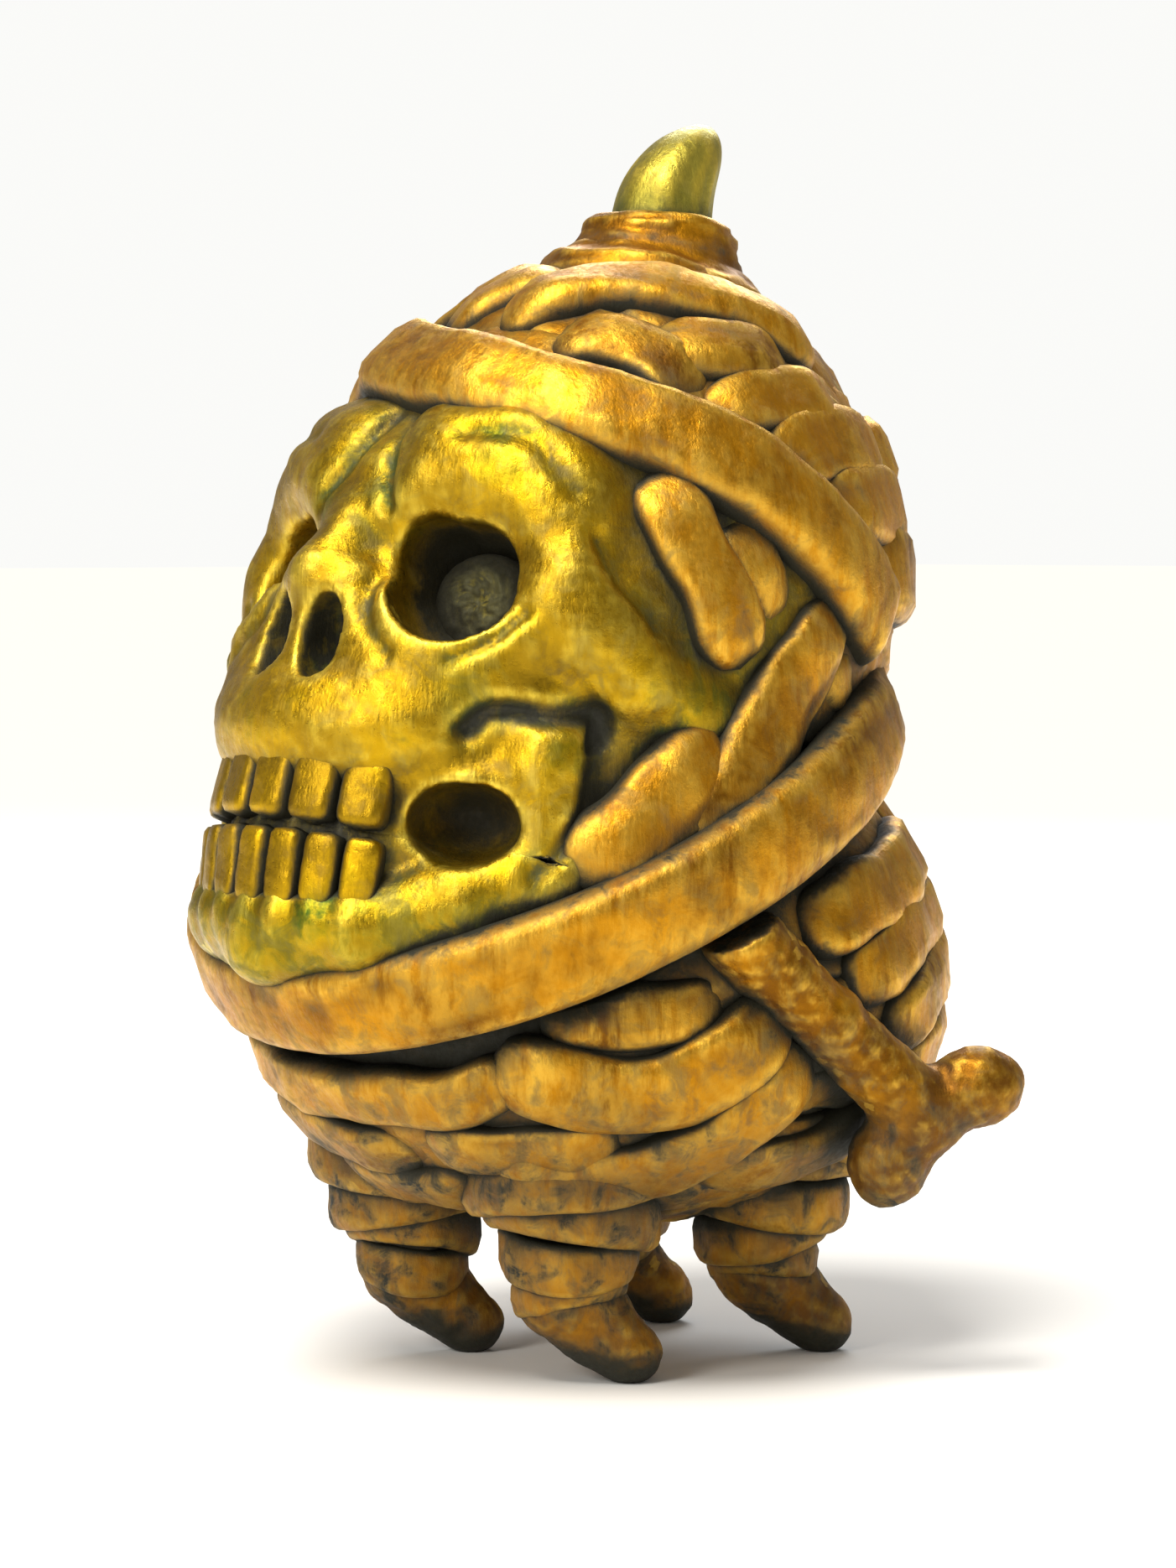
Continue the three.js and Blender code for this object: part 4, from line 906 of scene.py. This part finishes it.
class FIGURINE_OT_horn(FigurineOperator, bpy.types.Operator):
    """Grows the horn and wraps its collar"""

    bl_idname = "figurine.horn"
    bl_label = "Horn and collar"

    def execute(self, context):
        self.grow_horn()
        self.wrap_collar()
        return {"FINISHED"}

    def grow_horn(self):
        turn = about_x(HORN_LEAN)
        radius, height = self.mm(self.sizes().horn_radius), self.mm(self.sizes().horn_height)
        bend = [(-2, 0), (height * 0.2, 0), (height * 0.5, 0.1), (height * 0.77, 1.0), (height, 2.1)]
        spine = spline([(0, behind, up) for up, behind in bend], HORN_RINGS)
        t = np.linspace(0, 1, HORN_RINGS)
        width = radius * (1 - 0.05 * t) * np.clip(1 - t ** 3.4, 0, 1) ** 0.6 + 0.03
        a = np.linspace(0, 2 * math.pi, HORN_AROUND, endpoint=False)
        circle = np.stack((np.cos(a), np.sin(a), 0 * a), 1)
        local = spine[:, None, :] + width[:, None, None] * circle[None]
        verts = HORN_ROOT + local.reshape(-1, 3) @ turn.T
        streak = np.tile(circle * 3, (HORN_RINGS, 1))
        streak[:, 2] = np.repeat(t, HORN_AROUND)
        outward = unit(verts - (HORN_ROOT + np.repeat(spine, HORN_AROUND, 0) @ turn.T))
        relief = 0.10 * ripple(streak, 1.6, 81, 3) * np.repeat(1 - t ** 2, HORN_AROUND)
        verts = verts + outward * relief[:, None]
        marks = {"green": np.repeat(0.7 * (1 - smooth_step(t, 0.15, 0.55)), HORN_AROUND)}
        piece = make_object("horn_spike", verts, ring_faces(HORN_RINGS, HORN_AROUND), marks)
        finish_piece(piece, "head", "horn", finish("horn"), "horn")

    def wrap_collar(self):
        """A turned collar with a folded rim, made lumpy as a wound strap is."""
        turn = about_x(HORN_LEAN)
        outline = spline(COLLAR_OUTLINE, COLLAR_RINGS)
        a = np.linspace(0, 2 * math.pi, COLLAR_AROUND, endpoint=False)
        rim = 1 + 0.025 * np.sin(2 * a + 0.6) + 0.02 * np.sin(3 * a)
        x = outline[:, 0][:, None] * (np.cos(a) * rim)[None]
        y = outline[:, 0][:, None] * (np.sin(a) * rim)[None]
        z = outline[:, 1][:, None] + 0.25 * np.sin(a + 0.8)[None] * (outline[:, 1][:, None] > 0)
        local = np.stack((x, y, z), -1).reshape(-1, 3)
        local[:, 2] += 0.16 * ripple(local * (1, 1, 3), 5, 85)
        out = unit(local * (1, 1, 0.3))
        local = local + out * (0.13 * ripple(local * (0.4, 0.4, 1.6), 1.6, 86, 3))[:, None]
        verts = HORN_ROOT + local @ turn.T
        faces = ring_faces(COLLAR_RINGS, COLLAR_AROUND, closed=True)
        faces = [f[::-1] for f in faces]
        step = np.repeat(np.linspace(0, 1, COLLAR_RINGS), COLLAR_AROUND)
        # Painted shade in the crease under the folded rim and on the inside next to the horn
        wash_and_shade = 0.55 * np.exp(-((step - 0.52) / 0.05) ** 2) + 0.5 * smooth_step(-step, -0.12, 0)
        piece = make_object("horn_collar_wrap", verts, faces, {"wash_and_shade": wash_and_shade})
        finish_piece(piece, "head", "wrap", finish("wrap"), "horn_collar")


# ---------------------------------------------------------------- straps of the head

def mirrored_path(path):
    """The path on the right side, where the crown's straps lie higher."""
    raised = RIGHT_RAISE if path[0][1] >= 30 else 0
    return [(-lon, lat + raised) for lon, lat in path]


BROW_PATH = [
    (-117, 19), (-104, 23), (-88, 27), (-66, 32), (-45, 35), (-26, 35), (-13, 31), (2, 29),
    (16, 27), (28, 26), (41, 26), (56, 27), (75, 26), (97, 22), (108, 19), (117, 17),
]
RIGHT_RAISE = 6                      # degrees that the right crown straps lie above the left ones

HEAD_STRAPS = {   # name: (width, lift, on both sides, path)
    "jaw_strap": (3.9, 0.1, True, [(81, -21), (74, -33), (66, -44)]),
    "cheek_strap": (4.2, 0.0, True, [(98, 12), (92, -6), (88, -20), (85, -36)]),
    "temple_strap": (4.0, 0.2, True, [(54, 18), (66, 7), (79, -4)]),
    "temple_tuck": (3.4, -0.5, False, [(70, 18), (84, 7)]),
    "ear_tuck": (3.2, -0.3, False, [(107, 8), (103, -1)]),
    "crown_arc": (3.7, 0.3, False, [(8, 43), (19, 53), (39, 58), (63, 61), (86, 61)]),
    "crown_cross_1": (3.8, -0.1, False, [(24, 41), (40, 42), (54, 38)]),
    "crown_fan_1": (4.0, 0.0, True, [(60, 37), (72, 44), (92, 52)]),
    "crown_cross_2": (4.0, 0.1, False, [(44, 46), (58, 49), (76, 53)]),
    "crown_fan_2": (4.4, 0.1, True, [(75, 33), (91, 43), (112, 50)]),
    "crown_fan_3": (4.6, 0.2, True, [(92, 30), (108, 38), (128, 44)]),
    "crown_front_1": (4.4, 0.0, False, [(-15, 44), (-8, 51), (4, 58)]),
    "crown_front_2": (4.4, 0.1, False, [(-46, 46), (-32, 53), (-12, 61)]),
    "back_strap_1": (5.2, 0.2, False, [(112, 28), (132, 32), (158, 38), (180, 44)]),
    "back_strap_2": (5.4, 0.0, False, [(124, 52), (160, 56), (196, 56), (230, 50)]),
    "back_strap_3": (5.2, 0.1, False, [(186, 38), (210, 36), (232, 31), (250, 26)]),
}


def held_off_neck(verts, side):
    """The vertices, with those that pass the neck plane brought back to their own side of it."""
    short = np.maximum(NECK_ROOM - side * ((verts - NECK) @ NECK_UP), 0)
    return verts + side * short[:, None] * NECK_UP


def lay(name, shell, path, width, lift, body, seed, nodes):
    thickness = bpy.context.scene.figurine_sizes.strap_thickness / MM + 0.3
    verts, faces, marks = ribbon(shell, path, width, thickness, lift, seed)
    verts = held_off_neck(verts, 1 if body == "head" else -1)
    return finish_piece(make_object(name, verts, faces, marks), body, "wrap", finish("wrap"), *nodes)


def clear_of_neck(shell, width, path, side):
    """The longest stretch of a path whose band stays on its own side of the neck plane."""
    heights = [side * float((shell.point(lon, lat) - NECK) @ NECK_UP) for lon, lat in path]
    runs, run = [], []
    for spot, height in zip(path, heights):
        if height > width / 2 + NECK_ROOM:
            run = run + [spot]
        else:
            runs, run = runs + [run], []
    return max(runs + [run], key=len)


def under_wraps(name, shell, rows, body, seed, side):
    """The lower layer that shows between the straps: one piece of many wound bands."""
    level = bpy.context.scene.figurine_sizes.under_wrap_level / MM
    parts = []
    for n, (width, path) in enumerate(rows):
        kept = clear_of_neck(shell, width, path, side)
        if len(kept) > 2:
            parts.append(ribbon(shell, kept, width, level, 0.0, seed + n, tuck=(0.2, 0.2)))
    verts, faces, marks = joined(parts)
    verts = held_off_neck(verts, side)
    return finish_piece(make_object(name, verts, faces, marks), body, "wrap", finish("under"))


def along_neck(shell, longitudes, height):
    """A path round a shell at one height above the neck plane, or below it if negative."""
    latitudes = np.linspace(-70, 70, 281)
    path = []
    for longitude in longitudes:
        line = shell.at(shell.direction(np.full(len(latitudes), float(longitude)), latitudes))
        above = (line - NECK) @ NECK_UP
        path.append((longitude, float(latitudes[np.argmin(np.abs(above - height))])))
    return path


def head_under_rows():
    """Bands round the back of the head, and round the crown above the brow band."""
    for n, lat in enumerate(range(-26, 24, 8)):
        tilt = 4 * (-1) ** n
        yield 4.4, [(lon, lat + tilt * math.sin(math.radians(lon * 1.5))) for lon in range(96, 268, 14)]
    yield 4.2, along_neck(HEAD, range(98, 264, 12), 2.5)
    for n, lat in enumerate(range(30, 80, 9)):
        yield 4.6, [(lon + 40 * n, lat + 3 * math.sin(math.radians(lon * 2))) for lon in range(0, 372, 18)]


class FIGURINE_OT_head_straps(FigurineOperator, bpy.types.Operator):
    """Lays the straps of the head, with the wound layer under them"""

    bl_idname = "figurine.head_straps"
    bl_label = "Head straps"

    def execute(self, context):
        under_wraps("head_under_wraps", HEAD, list(head_under_rows()), "head", 500, 1)
        for n, (name, (width, lift, twin, path)) in enumerate(HEAD_STRAPS.items()):
            sides = [("_left", path), ("_right", mirrored_path(path))] if twin else [("", path)]
            for k, (ending, route) in enumerate(sides):
                node = name + ending
                lay(node + "_wrap", HEAD, route, width, lift, "head", 100 + 2 * n + k, [node])
        return {"FINISHED"}


class FIGURINE_OT_bands(FigurineOperator, bpy.types.Operator):
    """Lays the brow band and the ring of the chin band"""

    bl_idname = "figurine.bands"
    bl_label = "Brow and chin bands"

    def execute(self, context):
        sizes = self.sizes()
        wide, thick = self.mm(sizes.brow_band_width), self.mm(sizes.brow_band_thickness) + 0.3
        verts, faces, marks = ribbon(HEAD, BROW_PATH, wide, thick, 0.1, 7, (2.2, 2.2))
        piece = make_object("brow_band_wrap", verts, faces, marks)
        finish_piece(piece, "head", "wrap", finish("wrap"), "brow_band")
        self.chin_ring()
        return {"FINISHED"}

    def chin_ring(self):
        sizes = self.sizes()
        thick, wide = self.mm(sizes.chin_band_thickness), self.mm(sizes.chin_band_width)
        count = 420
        a = np.linspace(0, 2 * math.pi, count, endpoint=False)
        circle = np.stack((np.cos(a), np.sin(a), 0 * a), 1) * 12
        section_across, section_up = pillow_section(0.62, 0.75)
        swell = 1 + 0.05 * ripple(circle, 9, 21)
        out = thick / 2 * section_up[None, :] * swell[:, None]
        spread = (1 + 0.03 * ripple(circle, 12, 22))[:, None]
        z = CHIN_BAND_FOOT + wide / 2 + wide / 2 * section_across[None, :] * spread
        ring = np.repeat(circle, SECTION_POINTS, 0)
        grooves = np.stack((ring[:, 0] / 5, ring[:, 1] / 5, z.ravel() / 1.3), 1)
        crest = np.clip(np.tile(section_up, count), 0, 1)
        grain = np.stack((ring[:, 0], ring[:, 1], z.ravel()), 1)
        relief = crest * (0.16 * ripple(grooves, 1, 23, 3) + 0.05 * ripple(grain, 1.4, 24))
        out = out + relief.reshape(out.shape)
        x = (CHIN_BAND_RADII[0] - thick / 2 + out) * np.cos(a)[:, None]
        y = (CHIN_BAND_RADII[1] - thick / 2 + out) * np.sin(a)[:, None]
        verts = NECK + np.stack((x, y, z), -1).reshape(-1, 3) @ NECK_TURN.T
        # Painted shade mixed with a dark wash at the band's edges and in the dips of its crest
        edge = 0.75 * np.abs(np.tile(section_across, count)) ** 6
        marks = {"wash_and_shade": np.clip(np.maximum(edge, -relief * 3), 0, 1), "tone": np.full(len(verts), 0.3)}
        faces = ring_faces(count, SECTION_POINTS, closed=True)
        piece = make_object("chin_band_wrap", verts, faces, marks)
        finish_piece(piece, "head", "wrap", finish("wrap"), "chin_band")


# ---------------------------------------------------------------- body

BODY_STRAPS = {   # name: (width, lift, path)
    "belly_strap_1": (3.4, 0.1, [(-44, -7), (-22, -11), (-1, -12), (20, -12), (33, -8)]),
    "belly_strap_2": (4.4, 0.3, [(33, -6), (46, -10), (58, -10), (70, -5), (77, 2)]),
    "belly_strap_5": (4.0, 0.2, [(27, -28), (46, -30), (64, -25), (77, -15), (83, -5)]),
    "belly_strap_3": (3.8, 0.0, [(-38, -18), (-13, -23), (6, -25)]),
    "belly_strap_4": (3.6, 0.1, [(16, -22), (36, -23), (50, -20)]),
    "hip_strap": (4.2, 0.1, [(-24, -33), (-5, -36), (16, -35)]),
    "waist_tuck": (3.6, -0.2, [(40, 3), (54, 3), (68, 4)]),
    "shoulder_strap_1": (4.2, 0.3, [(88, 17), (112, 22), (140, 28)]),
    "shoulder_strap_2": (4.0, 0.1, [(97, 7), (114, 13), (140, 18)]),
    "shoulder_strap_3": (4.0, 0.2, [(107, -2), (122, 4), (144, 9)]),
    "flank_strap_1": (4.0, 0.0, [(114, -11), (132, -6), (150, -1)]),
    "flank_strap_2": (4.2, 0.1, [(74, -30), (94, -26), (112, -20)]),
    "back_belt_low": (5.4, 0.0, [(118, -24), (160, -25), (200, -24), (240, -25), (290, -22), (318, -20)]),
    "back_belt_mid": (5.6, 0.2, [(154, -8), (185, -8), (220, -7), (255, -7), (300, -4), (316, -4)]),
    "back_belt_high": (5.6, 0.1, [(148, 14), (190, 10), (225, 8), (262, 9), (292, 8)]),
    "shoulder_strap_back": (5.4, 0.0, [(142, 34), (180, 28), (215, 24), (252, 24)]),
}


def body_under_rows():
    """Bands round the body, with shorter slanting bands laid over them."""
    for n, lat in enumerate(range(-70, 36, 8)):
        tilt = 6 * (-1) ** n
        sway = [(lon, tilt * math.sin(math.radians(lon + 20 * n))) for lon in range(0, 372, 15)]
        yield 3.9, [(lon + 50 * n, lat + rise) for lon, rise in sway]
    yield 4.4, along_neck(BODY, range(0, 372, 12), -2.6)
    yield from SLANTING_BANDS


SLANTING_BANDS = [   # (width, path), short bands of the lower layer that cross the level ones
    (3.0, [(8, -30), (26, -36), (44, -40)]), (2.8, [(-34, -40), (-16, -45), (4, -47)]),
    (3.0, [(44, -40), (62, -38), (80, -30)]), (2.8, [(24, -44), (42, -50), (62, -50)]),
    (2.8, [(80, -4), (92, 2), (104, 10)]), (2.8, [(84, -14), (98, -8), (110, 0)]),
    (2.8, [(88, -40), (106, -36), (124, -30)]), (3.0, [(-60, -14), (-48, -24), (-34, -30)]),
    (2.6, [(20, -17), (30, -19), (42, -18)]), (3.0, [(130, -44), (160, -40), (190, -44)]),
    (3.0, [(200, -46), (230, -40), (262, -44)]), (3.0, [(-100, -30), (-84, -36), (-66, -38)]),
]


CORE_PITCH = 0.5
PEG_OUTLINE = np.array([   # (radius, height) about the neck axis
    (0.05, -6), (5.5, -6), (5.5, 4.5), (7, 4.5), (7, 5.3), (5.6, 6.4), (0.05, 6.5),
])
PEG_AROUND = 48


class FIGURINE_OT_body(FigurineOperator, bpy.types.Operator):
    """Sculpts the body's core and its neck peg, and lays the body's straps"""

    bl_idname = "figurine.body"
    bl_label = "Body and its straps"

    def execute(self, context):
        self.core()
        self.peg()
        under_wraps("body_under_wraps", BODY, list(body_under_rows()), "body", 700, -1)
        for n, (name, (width, lift, path)) in enumerate(BODY_STRAPS.items()):
            lay(name + "_wrap", BODY, path, width, lift, "body", 300 + n, [name])
        return {"FINISHED"}

    def core(self):
        clay = Clay((-20, -21, -15), (20, 21, 24), CORE_PITCH)
        radii = np.array(BODY.lobes[0][1])
        distance, low, high = egg((0, 0, 0), radii + 0.9)
        lift = BODY.lobes[0][2] / radii[2]
        clay.press((lambda x, y, z: distance(x, y, np.where(z > 0, z / lift, z)), low - 4, high + 10), 0.5)
        clay.keep_above(NECK - BODY_CENTRE - NECK_UP * 0.4, -NECK_UP)
        verts, quads = clay.skin()
        verts = verts + BODY_CENTRE
        verts = verts + normals_of(verts, quads) * (0.12 * ripple(verts, 2.4, 31))[:, None]
        # The core is darkened all over as painted shade in the gaps between the straps
        piece = make_object("body_core_form", verts, quads, {"wash_and_shade": np.full(len(verts), 0.75)})
        finish_piece(piece, "body", "core", finish("under"), "body_core")

    def peg(self):
        a = np.linspace(0, 2 * math.pi, PEG_AROUND, endpoint=False)
        steps = [np.linspace(p, q, 5)[:-1] for p, q in zip(PEG_OUTLINE[:-1], PEG_OUTLINE[1:])]
        fine = np.concatenate(steps + [PEG_OUTLINE[-1:]])
        radius, height = fine[:, :1], np.repeat(fine[:, 1:], PEG_AROUND, 1)
        local = np.stack((radius * np.cos(a), radius * np.sin(a), height), -1)
        verts = NECK + local.reshape(-1, 3) @ NECK_TURN.T
        # The peg is darkened as painted shade inside the neck
        marks = {"wash_and_shade": np.full(len(verts), 0.5)}
        piece = make_object("neck_peg_turned", verts, ring_faces(len(fine), PEG_AROUND), marks)
        finish_piece(piece, "body", "core", finish("under"), "neck_peg")


# ---------------------------------------------------------------- legs

LEG_SPREAD = (7.0, 7.8)
TOE = unit(np.array((0.67, 0.74, 0.0)))
LEGS = {"front_left": (1, -1), "front_right": (-1, -1), "back_left": (1, 1), "back_right": (-1, 1)}
BOOT_PITCH = 0.25
ANKLE_RINGS = [   # (radius past the leg's, height, width, thickness, tilt)
    (-0.5, 5.7, 2.9, 1.2, 0.7), (-0.1, 7.7, 3.1, 1.5, -0.8),
    (0.7, 9.9, 3.4, 1.8, 0.9), (1.7, 12.0, 3.4, 1.8, -0.6),
]


class FIGURINE_OT_legs(FigurineOperator, bpy.types.Operator):
    """Sculpts the four booted legs and winds their wraps"""

    bl_idname = "figurine.legs"
    bl_label = "Legs"

    def execute(self, context):
        radius = self.mm(self.sizes().leg_radius)
        for n, (name, (side_x, side_y)) in enumerate(LEGS.items()):
            foot = np.array((NECK[0] + side_x * LEG_SPREAD[0], NECK[1] + 2 + side_y * LEG_SPREAD[1], 0))
            self.boot(name, foot, radius, n)
            self.wraps(name, foot, radius, n)
        return {"FINISHED"}

    def boot(self, name, foot, radius, n):
        clay = Clay(foot + (-7, -7, -1.5), foot + (8, 8, 13), BOOT_PITCH)
        clay.press(rod(foot + (0, 0, 5.2), foot + (0, 0, 12), radius * 0.86, radius), 0.5)
        heel, toe = foot - TOE * 0.3 + (0, 0, 5.2), foot + TOE * 3.4 + (0, 0, 1.75)
        clay.press(rod(heel, toe, radius * 0.9, 1.8), 0.9)
        clay.press(rod(foot + TOE * 0.9 + (0, 0, 3.2), foot + TOE * 3.5 + (0, 0, 1.6), 1.9, 1.75), 0.7)
        clay.keep_above((0, 0, 0.0), (0, 0, 1))
        verts, quads = clay.skin()
        bulge = 0.10 * ripple(verts, 2.6, 900 + n) + 0.04 * ripple(verts, 1.0, 910 + n)
        verts = verts + normals_of(verts, quads) * (bulge * smooth_step(verts[:, 2], 0.2, 1.2))[:, None]
        verts[:, 2] = np.maximum(verts[:, 2], 0)
        piece = make_object("leg_" + name + "_boot", verts, quads)
        finish_piece(piece, "body", "boot", finish("boot"), "leg_" + name)

    def wraps(self, name, foot, radius, n):
        """Wound rings above the boot, wider towards the belly; the lowest one is the ankle wrap."""
        parts = []
        for k, (more, *ring) in enumerate(ANKLE_RINGS):
            parts.append(self.ring(foot, radius + more, *ring, seed=950 + 10 * n + k))
        verts, faces, marks = joined(parts)
        piece = make_object("ankle_wrap_" + name + "_winding", verts, faces, marks)
        finish_piece(piece, "body", "wrap", finish("wrap"), "ankle_wrap_" + name)

    def ring(self, foot, radius, height, wide, thick, tilt, seed):
        count = 110
        a = np.linspace(0, 2 * math.pi, count, endpoint=False)
        circle = np.stack((np.cos(a), np.sin(a), 0 * a + seed), 1) * 3
        across, up = pillow_section(0.7, 0.8)
        swell = (1 + 0.12 * ripple(circle, 5, seed))[:, None]
        spread = (1 + 0.08 * ripple(circle, 4, seed + 1))[:, None]
        out = radius - 0.4 + thick * (0.5 + 0.5 * up)[None, :] * swell
        z = height + wide / 2 * across[None, :] * spread + tilt * np.sin(a + seed)[:, None]
        x, y = out * np.cos(a)[:, None], out * np.sin(a)[:, None]
        verts = np.stack((x, y, z), -1).reshape(-1, 3)
        out_way = unit(verts * (1, 1, 0))
        crest = np.clip(np.tile(up, count), 0, 1)
        relief = 0.08 * ripple(verts * (0.5, 0.5, 1.5), 1.3, seed + 2, 3) * crest
        verts = verts + out_way * relief[:, None]
        # Painted shade at the ring's edges
        wash_and_shade = 0.7 * np.abs(np.tile(across, count)) ** 5
        marks = {"wash_and_shade": wash_and_shade, "tone": np.full(len(verts), (seed % 7) / 7)}
        return verts + foot, ring_faces(count, SECTION_POINTS, closed=True), marks


# ---------------------------------------------------------------- bone

BONE_TOP = BODY_CENTRE + (19.1, -4.9, 4.1)
BONE_FOOT = BODY_CENTRE + (21.4, 5.4, -5.1)
BONE_TUCK = 1.8                      # how far the shaft runs on past its top, under the chin band
BONE_PITCH = 0.22


class FIGURINE_OT_bone(FigurineOperator, bpy.types.Operator):
    """Sculpts the bone that is tucked under the chin band"""

    bl_idname = "figurine.bone"
    bl_label = "Bone"

    def execute(self, context):
        radius = self.mm(self.sizes().bone_radius)
        along = unit(BONE_FOOT - BONE_TOP)
        top, foot = BONE_TOP - along * BONE_TUCK, BONE_FOOT
        facing = unit(np.array((0.74, -0.67, 0)))
        sideways = unit(np.cross(along, facing))
        clay = Clay(np.minimum(top, foot) - 7, np.maximum(top, foot) + 7, BONE_PITCH)
        middle = (top + foot) / 2
        clay.press(rod(top, middle, radius * 1.1, radius * 0.95), 0.3)
        clay.press(rod(middle, foot, radius * 0.95, radius * 1.1), 0.6)
        knobs = [foot + sideways * 3.3 * s + along * (0.9 - 0.3 * s) for s in (1, -1)]
        clay.press(rod(knobs[0], knobs[1], 1.9, 1.9), 1.2)
        for s, knob in zip((1, -1), knobs):
            turn = frame_along(sideways * s + along * 0.6)
            clay.press(egg(knob + along * 0.5, (2.3, 2.3, 2.7), turn), 0.8)
        clay.keep_above(NECK - NECK_UP * NECK_ROOM, -NECK_UP)
        verts, quads = clay.skin()
        relief = 0.09 * ripple(verts, 2.4, 121) + 0.04 * ripple(verts, 0.9, 122)
        verts = verts + normals_of(verts, quads) * relief[:, None]
        piece = make_object("bone_shaft_and_knobs", verts, quads)
        finish_piece(piece, "bone", "bone", finish("bone"), "bone")
        return {"FINISHED"}


# ---------------------------------------------------------------- stage

WARM = (1.0, 0.96, 0.88)
COOL = (0.95, 0.98, 1.0)
FLOOR_HALF = 6                       # metres
VIEW_LENS, VIEW_AZIMUTH, VIEW_ELEVATION, VIEW_DISTANCE = 107.8, 48, 3, 0.280


class FIGURINE_OT_stage(FigurineOperator, bpy.types.Operator):
    """Sets the pale floor, the soft lights and the camera"""

    bl_idname = "figurine.stage"
    bl_label = "Stage"

    def execute(self, context):
        self.floor()
        self.lights()
        self.camera()
        return {"FINISHED"}

    def floor(self):
        mesh = bpy.data.meshes.new("floor")
        size = FLOOR_HALF
        corners = [(-size, -size, 0), (size, -size, 0), (size, size, 0), (-size, size, 0)]
        mesh.from_pydata(corners, [], [(0, 1, 2, 3)])
        floor = bpy.data.objects.new("floor", mesh)
        bpy.context.scene.collection.objects.link(floor)
        material = bpy.data.materials.new("pale_floor")
        material.use_nodes = True
        shader = material.node_tree.nodes["Principled BSDF"]
        shader.inputs["Base Color"].default_value = (0.90, 0.90, 0.90, 1)
        shader.inputs["Roughness"].default_value = 0.9
        floor.data.materials.append(material)

    def lights(self):
        """Pale to the eye, dimmer as a light, so that the metal paint keeps its contrast."""
        world = bpy.data.worlds.new("soft_studio")
        bpy.context.scene.world = world
        world.use_nodes = True
        nodes, links = world.node_tree.nodes, world.node_tree.links
        seen = nodes["Background"]
        seen.inputs["Color"].default_value = (0.96, 0.96, 0.94, 1)
        lit = nodes.new("ShaderNodeBackground")
        lit.inputs["Color"].default_value = (*WARM, 1)
        lit.inputs["Strength"].default_value = 0.34
        path, mix = nodes.new("ShaderNodeLightPath"), nodes.new("ShaderNodeMixShader")
        links.new(path.outputs["Is Camera Ray"], mix.inputs["Fac"])
        links.new(lit.outputs["Background"], mix.inputs[1])
        links.new(seen.outputs["Background"], mix.inputs[2])
        links.new(mix.outputs["Shader"], nodes["World Output"].inputs["Surface"])
        sun = bpy.data.lights.new("sky_key", "SUN")
        sun.energy, sun.angle, sun.color = 3.1, math.radians(24), WARM
        lamp = bpy.data.objects.new("sky_key", sun)
        lamp.rotation_euler = Vector((-0.10, 0.40, -0.90)).to_track_quat("-Z", "Y").to_euler()
        bpy.context.scene.collection.objects.link(lamp)
        self.light("window", (0.05, -0.34, 0.20), 0.12, 0.6, WARM)
        self.light("back", (-0.2, 0.26, 0.3), 0.2, 0.9, COOL)
        bpy.context.scene.view_settings.view_transform = "Standard"

    def light(self, name, place, size, power, tint):
        data = bpy.data.lights.new(name, "AREA")
        data.size, data.energy, data.color = size, power, tint
        lamp = bpy.data.objects.new(name, data)
        lamp.location = place
        aim = Vector((0, 0, 0.04)) - Vector(place)
        lamp.rotation_euler = aim.to_track_quat("-Z", "Y").to_euler()
        bpy.context.scene.collection.objects.link(lamp)

    def camera(self):
        data = bpy.data.cameras.new("camera")
        data.lens, data.sensor_width, data.sensor_fit = VIEW_LENS, 36, "AUTO"
        camera = bpy.data.objects.new("camera", data)
        azimuth, elevation = math.radians(VIEW_AZIMUTH), math.radians(VIEW_ELEVATION)
        target = Vector(NECK * MM) + Vector((0, 0.002, 0.0051))
        level = math.cos(elevation)
        back = Vector((math.sin(azimuth) * level, -math.cos(azimuth) * level, math.sin(elevation)))
        camera.location = target + back * VIEW_DISTANCE
        camera.rotation_euler = (-back).to_track_quat("-Z", "Y").to_euler()
        bpy.context.scene.collection.objects.link(camera)
        bpy.context.scene.camera = camera


# ---------------------------------------------------------------- panel and registration

OPERATORS = [
    FIGURINE_OT_stage,
    FIGURINE_OT_skull,
    FIGURINE_OT_teeth,
    FIGURINE_OT_sockets,
    FIGURINE_OT_horn,
    FIGURINE_OT_bands,
    FIGURINE_OT_head_straps,
    FIGURINE_OT_body,
    FIGURINE_OT_legs,
    FIGURINE_OT_bone,
]


class FIGURINE_PT_panel(bpy.types.Panel):
    """Lists the figurine's pieces, sizes and colours"""

    bl_idname = "FIGURINE_PT_panel"
    bl_label = "Bandaged skull figurine"
    bl_space_type = "VIEW_3D"
    bl_region_type = "UI"
    bl_category = "Figurine"

    def draw(self, context):
        for group in (context.scene.figurine_sizes, context.scene.figurine_colours):
            box = self.layout.box()
            for name in group.__annotations__:
                box.prop(group, name)
        for operator in OPERATORS:
            self.layout.operator(operator.bl_idname)


CLASSES = [FigurineSizes, FigurineColours, *OPERATORS, FIGURINE_PT_panel]


def register():
    for cls in CLASSES:
        bpy.utils.register_class(cls)
    bpy.types.Scene.figurine_sizes = PointerProperty(type=FigurineSizes)
    bpy.types.Scene.figurine_colours = PointerProperty(type=FigurineColours)


def unregister():
    del bpy.types.Scene.figurine_colours
    del bpy.types.Scene.figurine_sizes
    for cls in reversed(CLASSES):
        bpy.utils.unregister_class(cls)


def main():
    register()
    for operator in OPERATORS:
        group, name = operator.bl_idname.split(".")
        getattr(getattr(bpy.ops, group), name)()


if __name__ == "__main__":
    main()
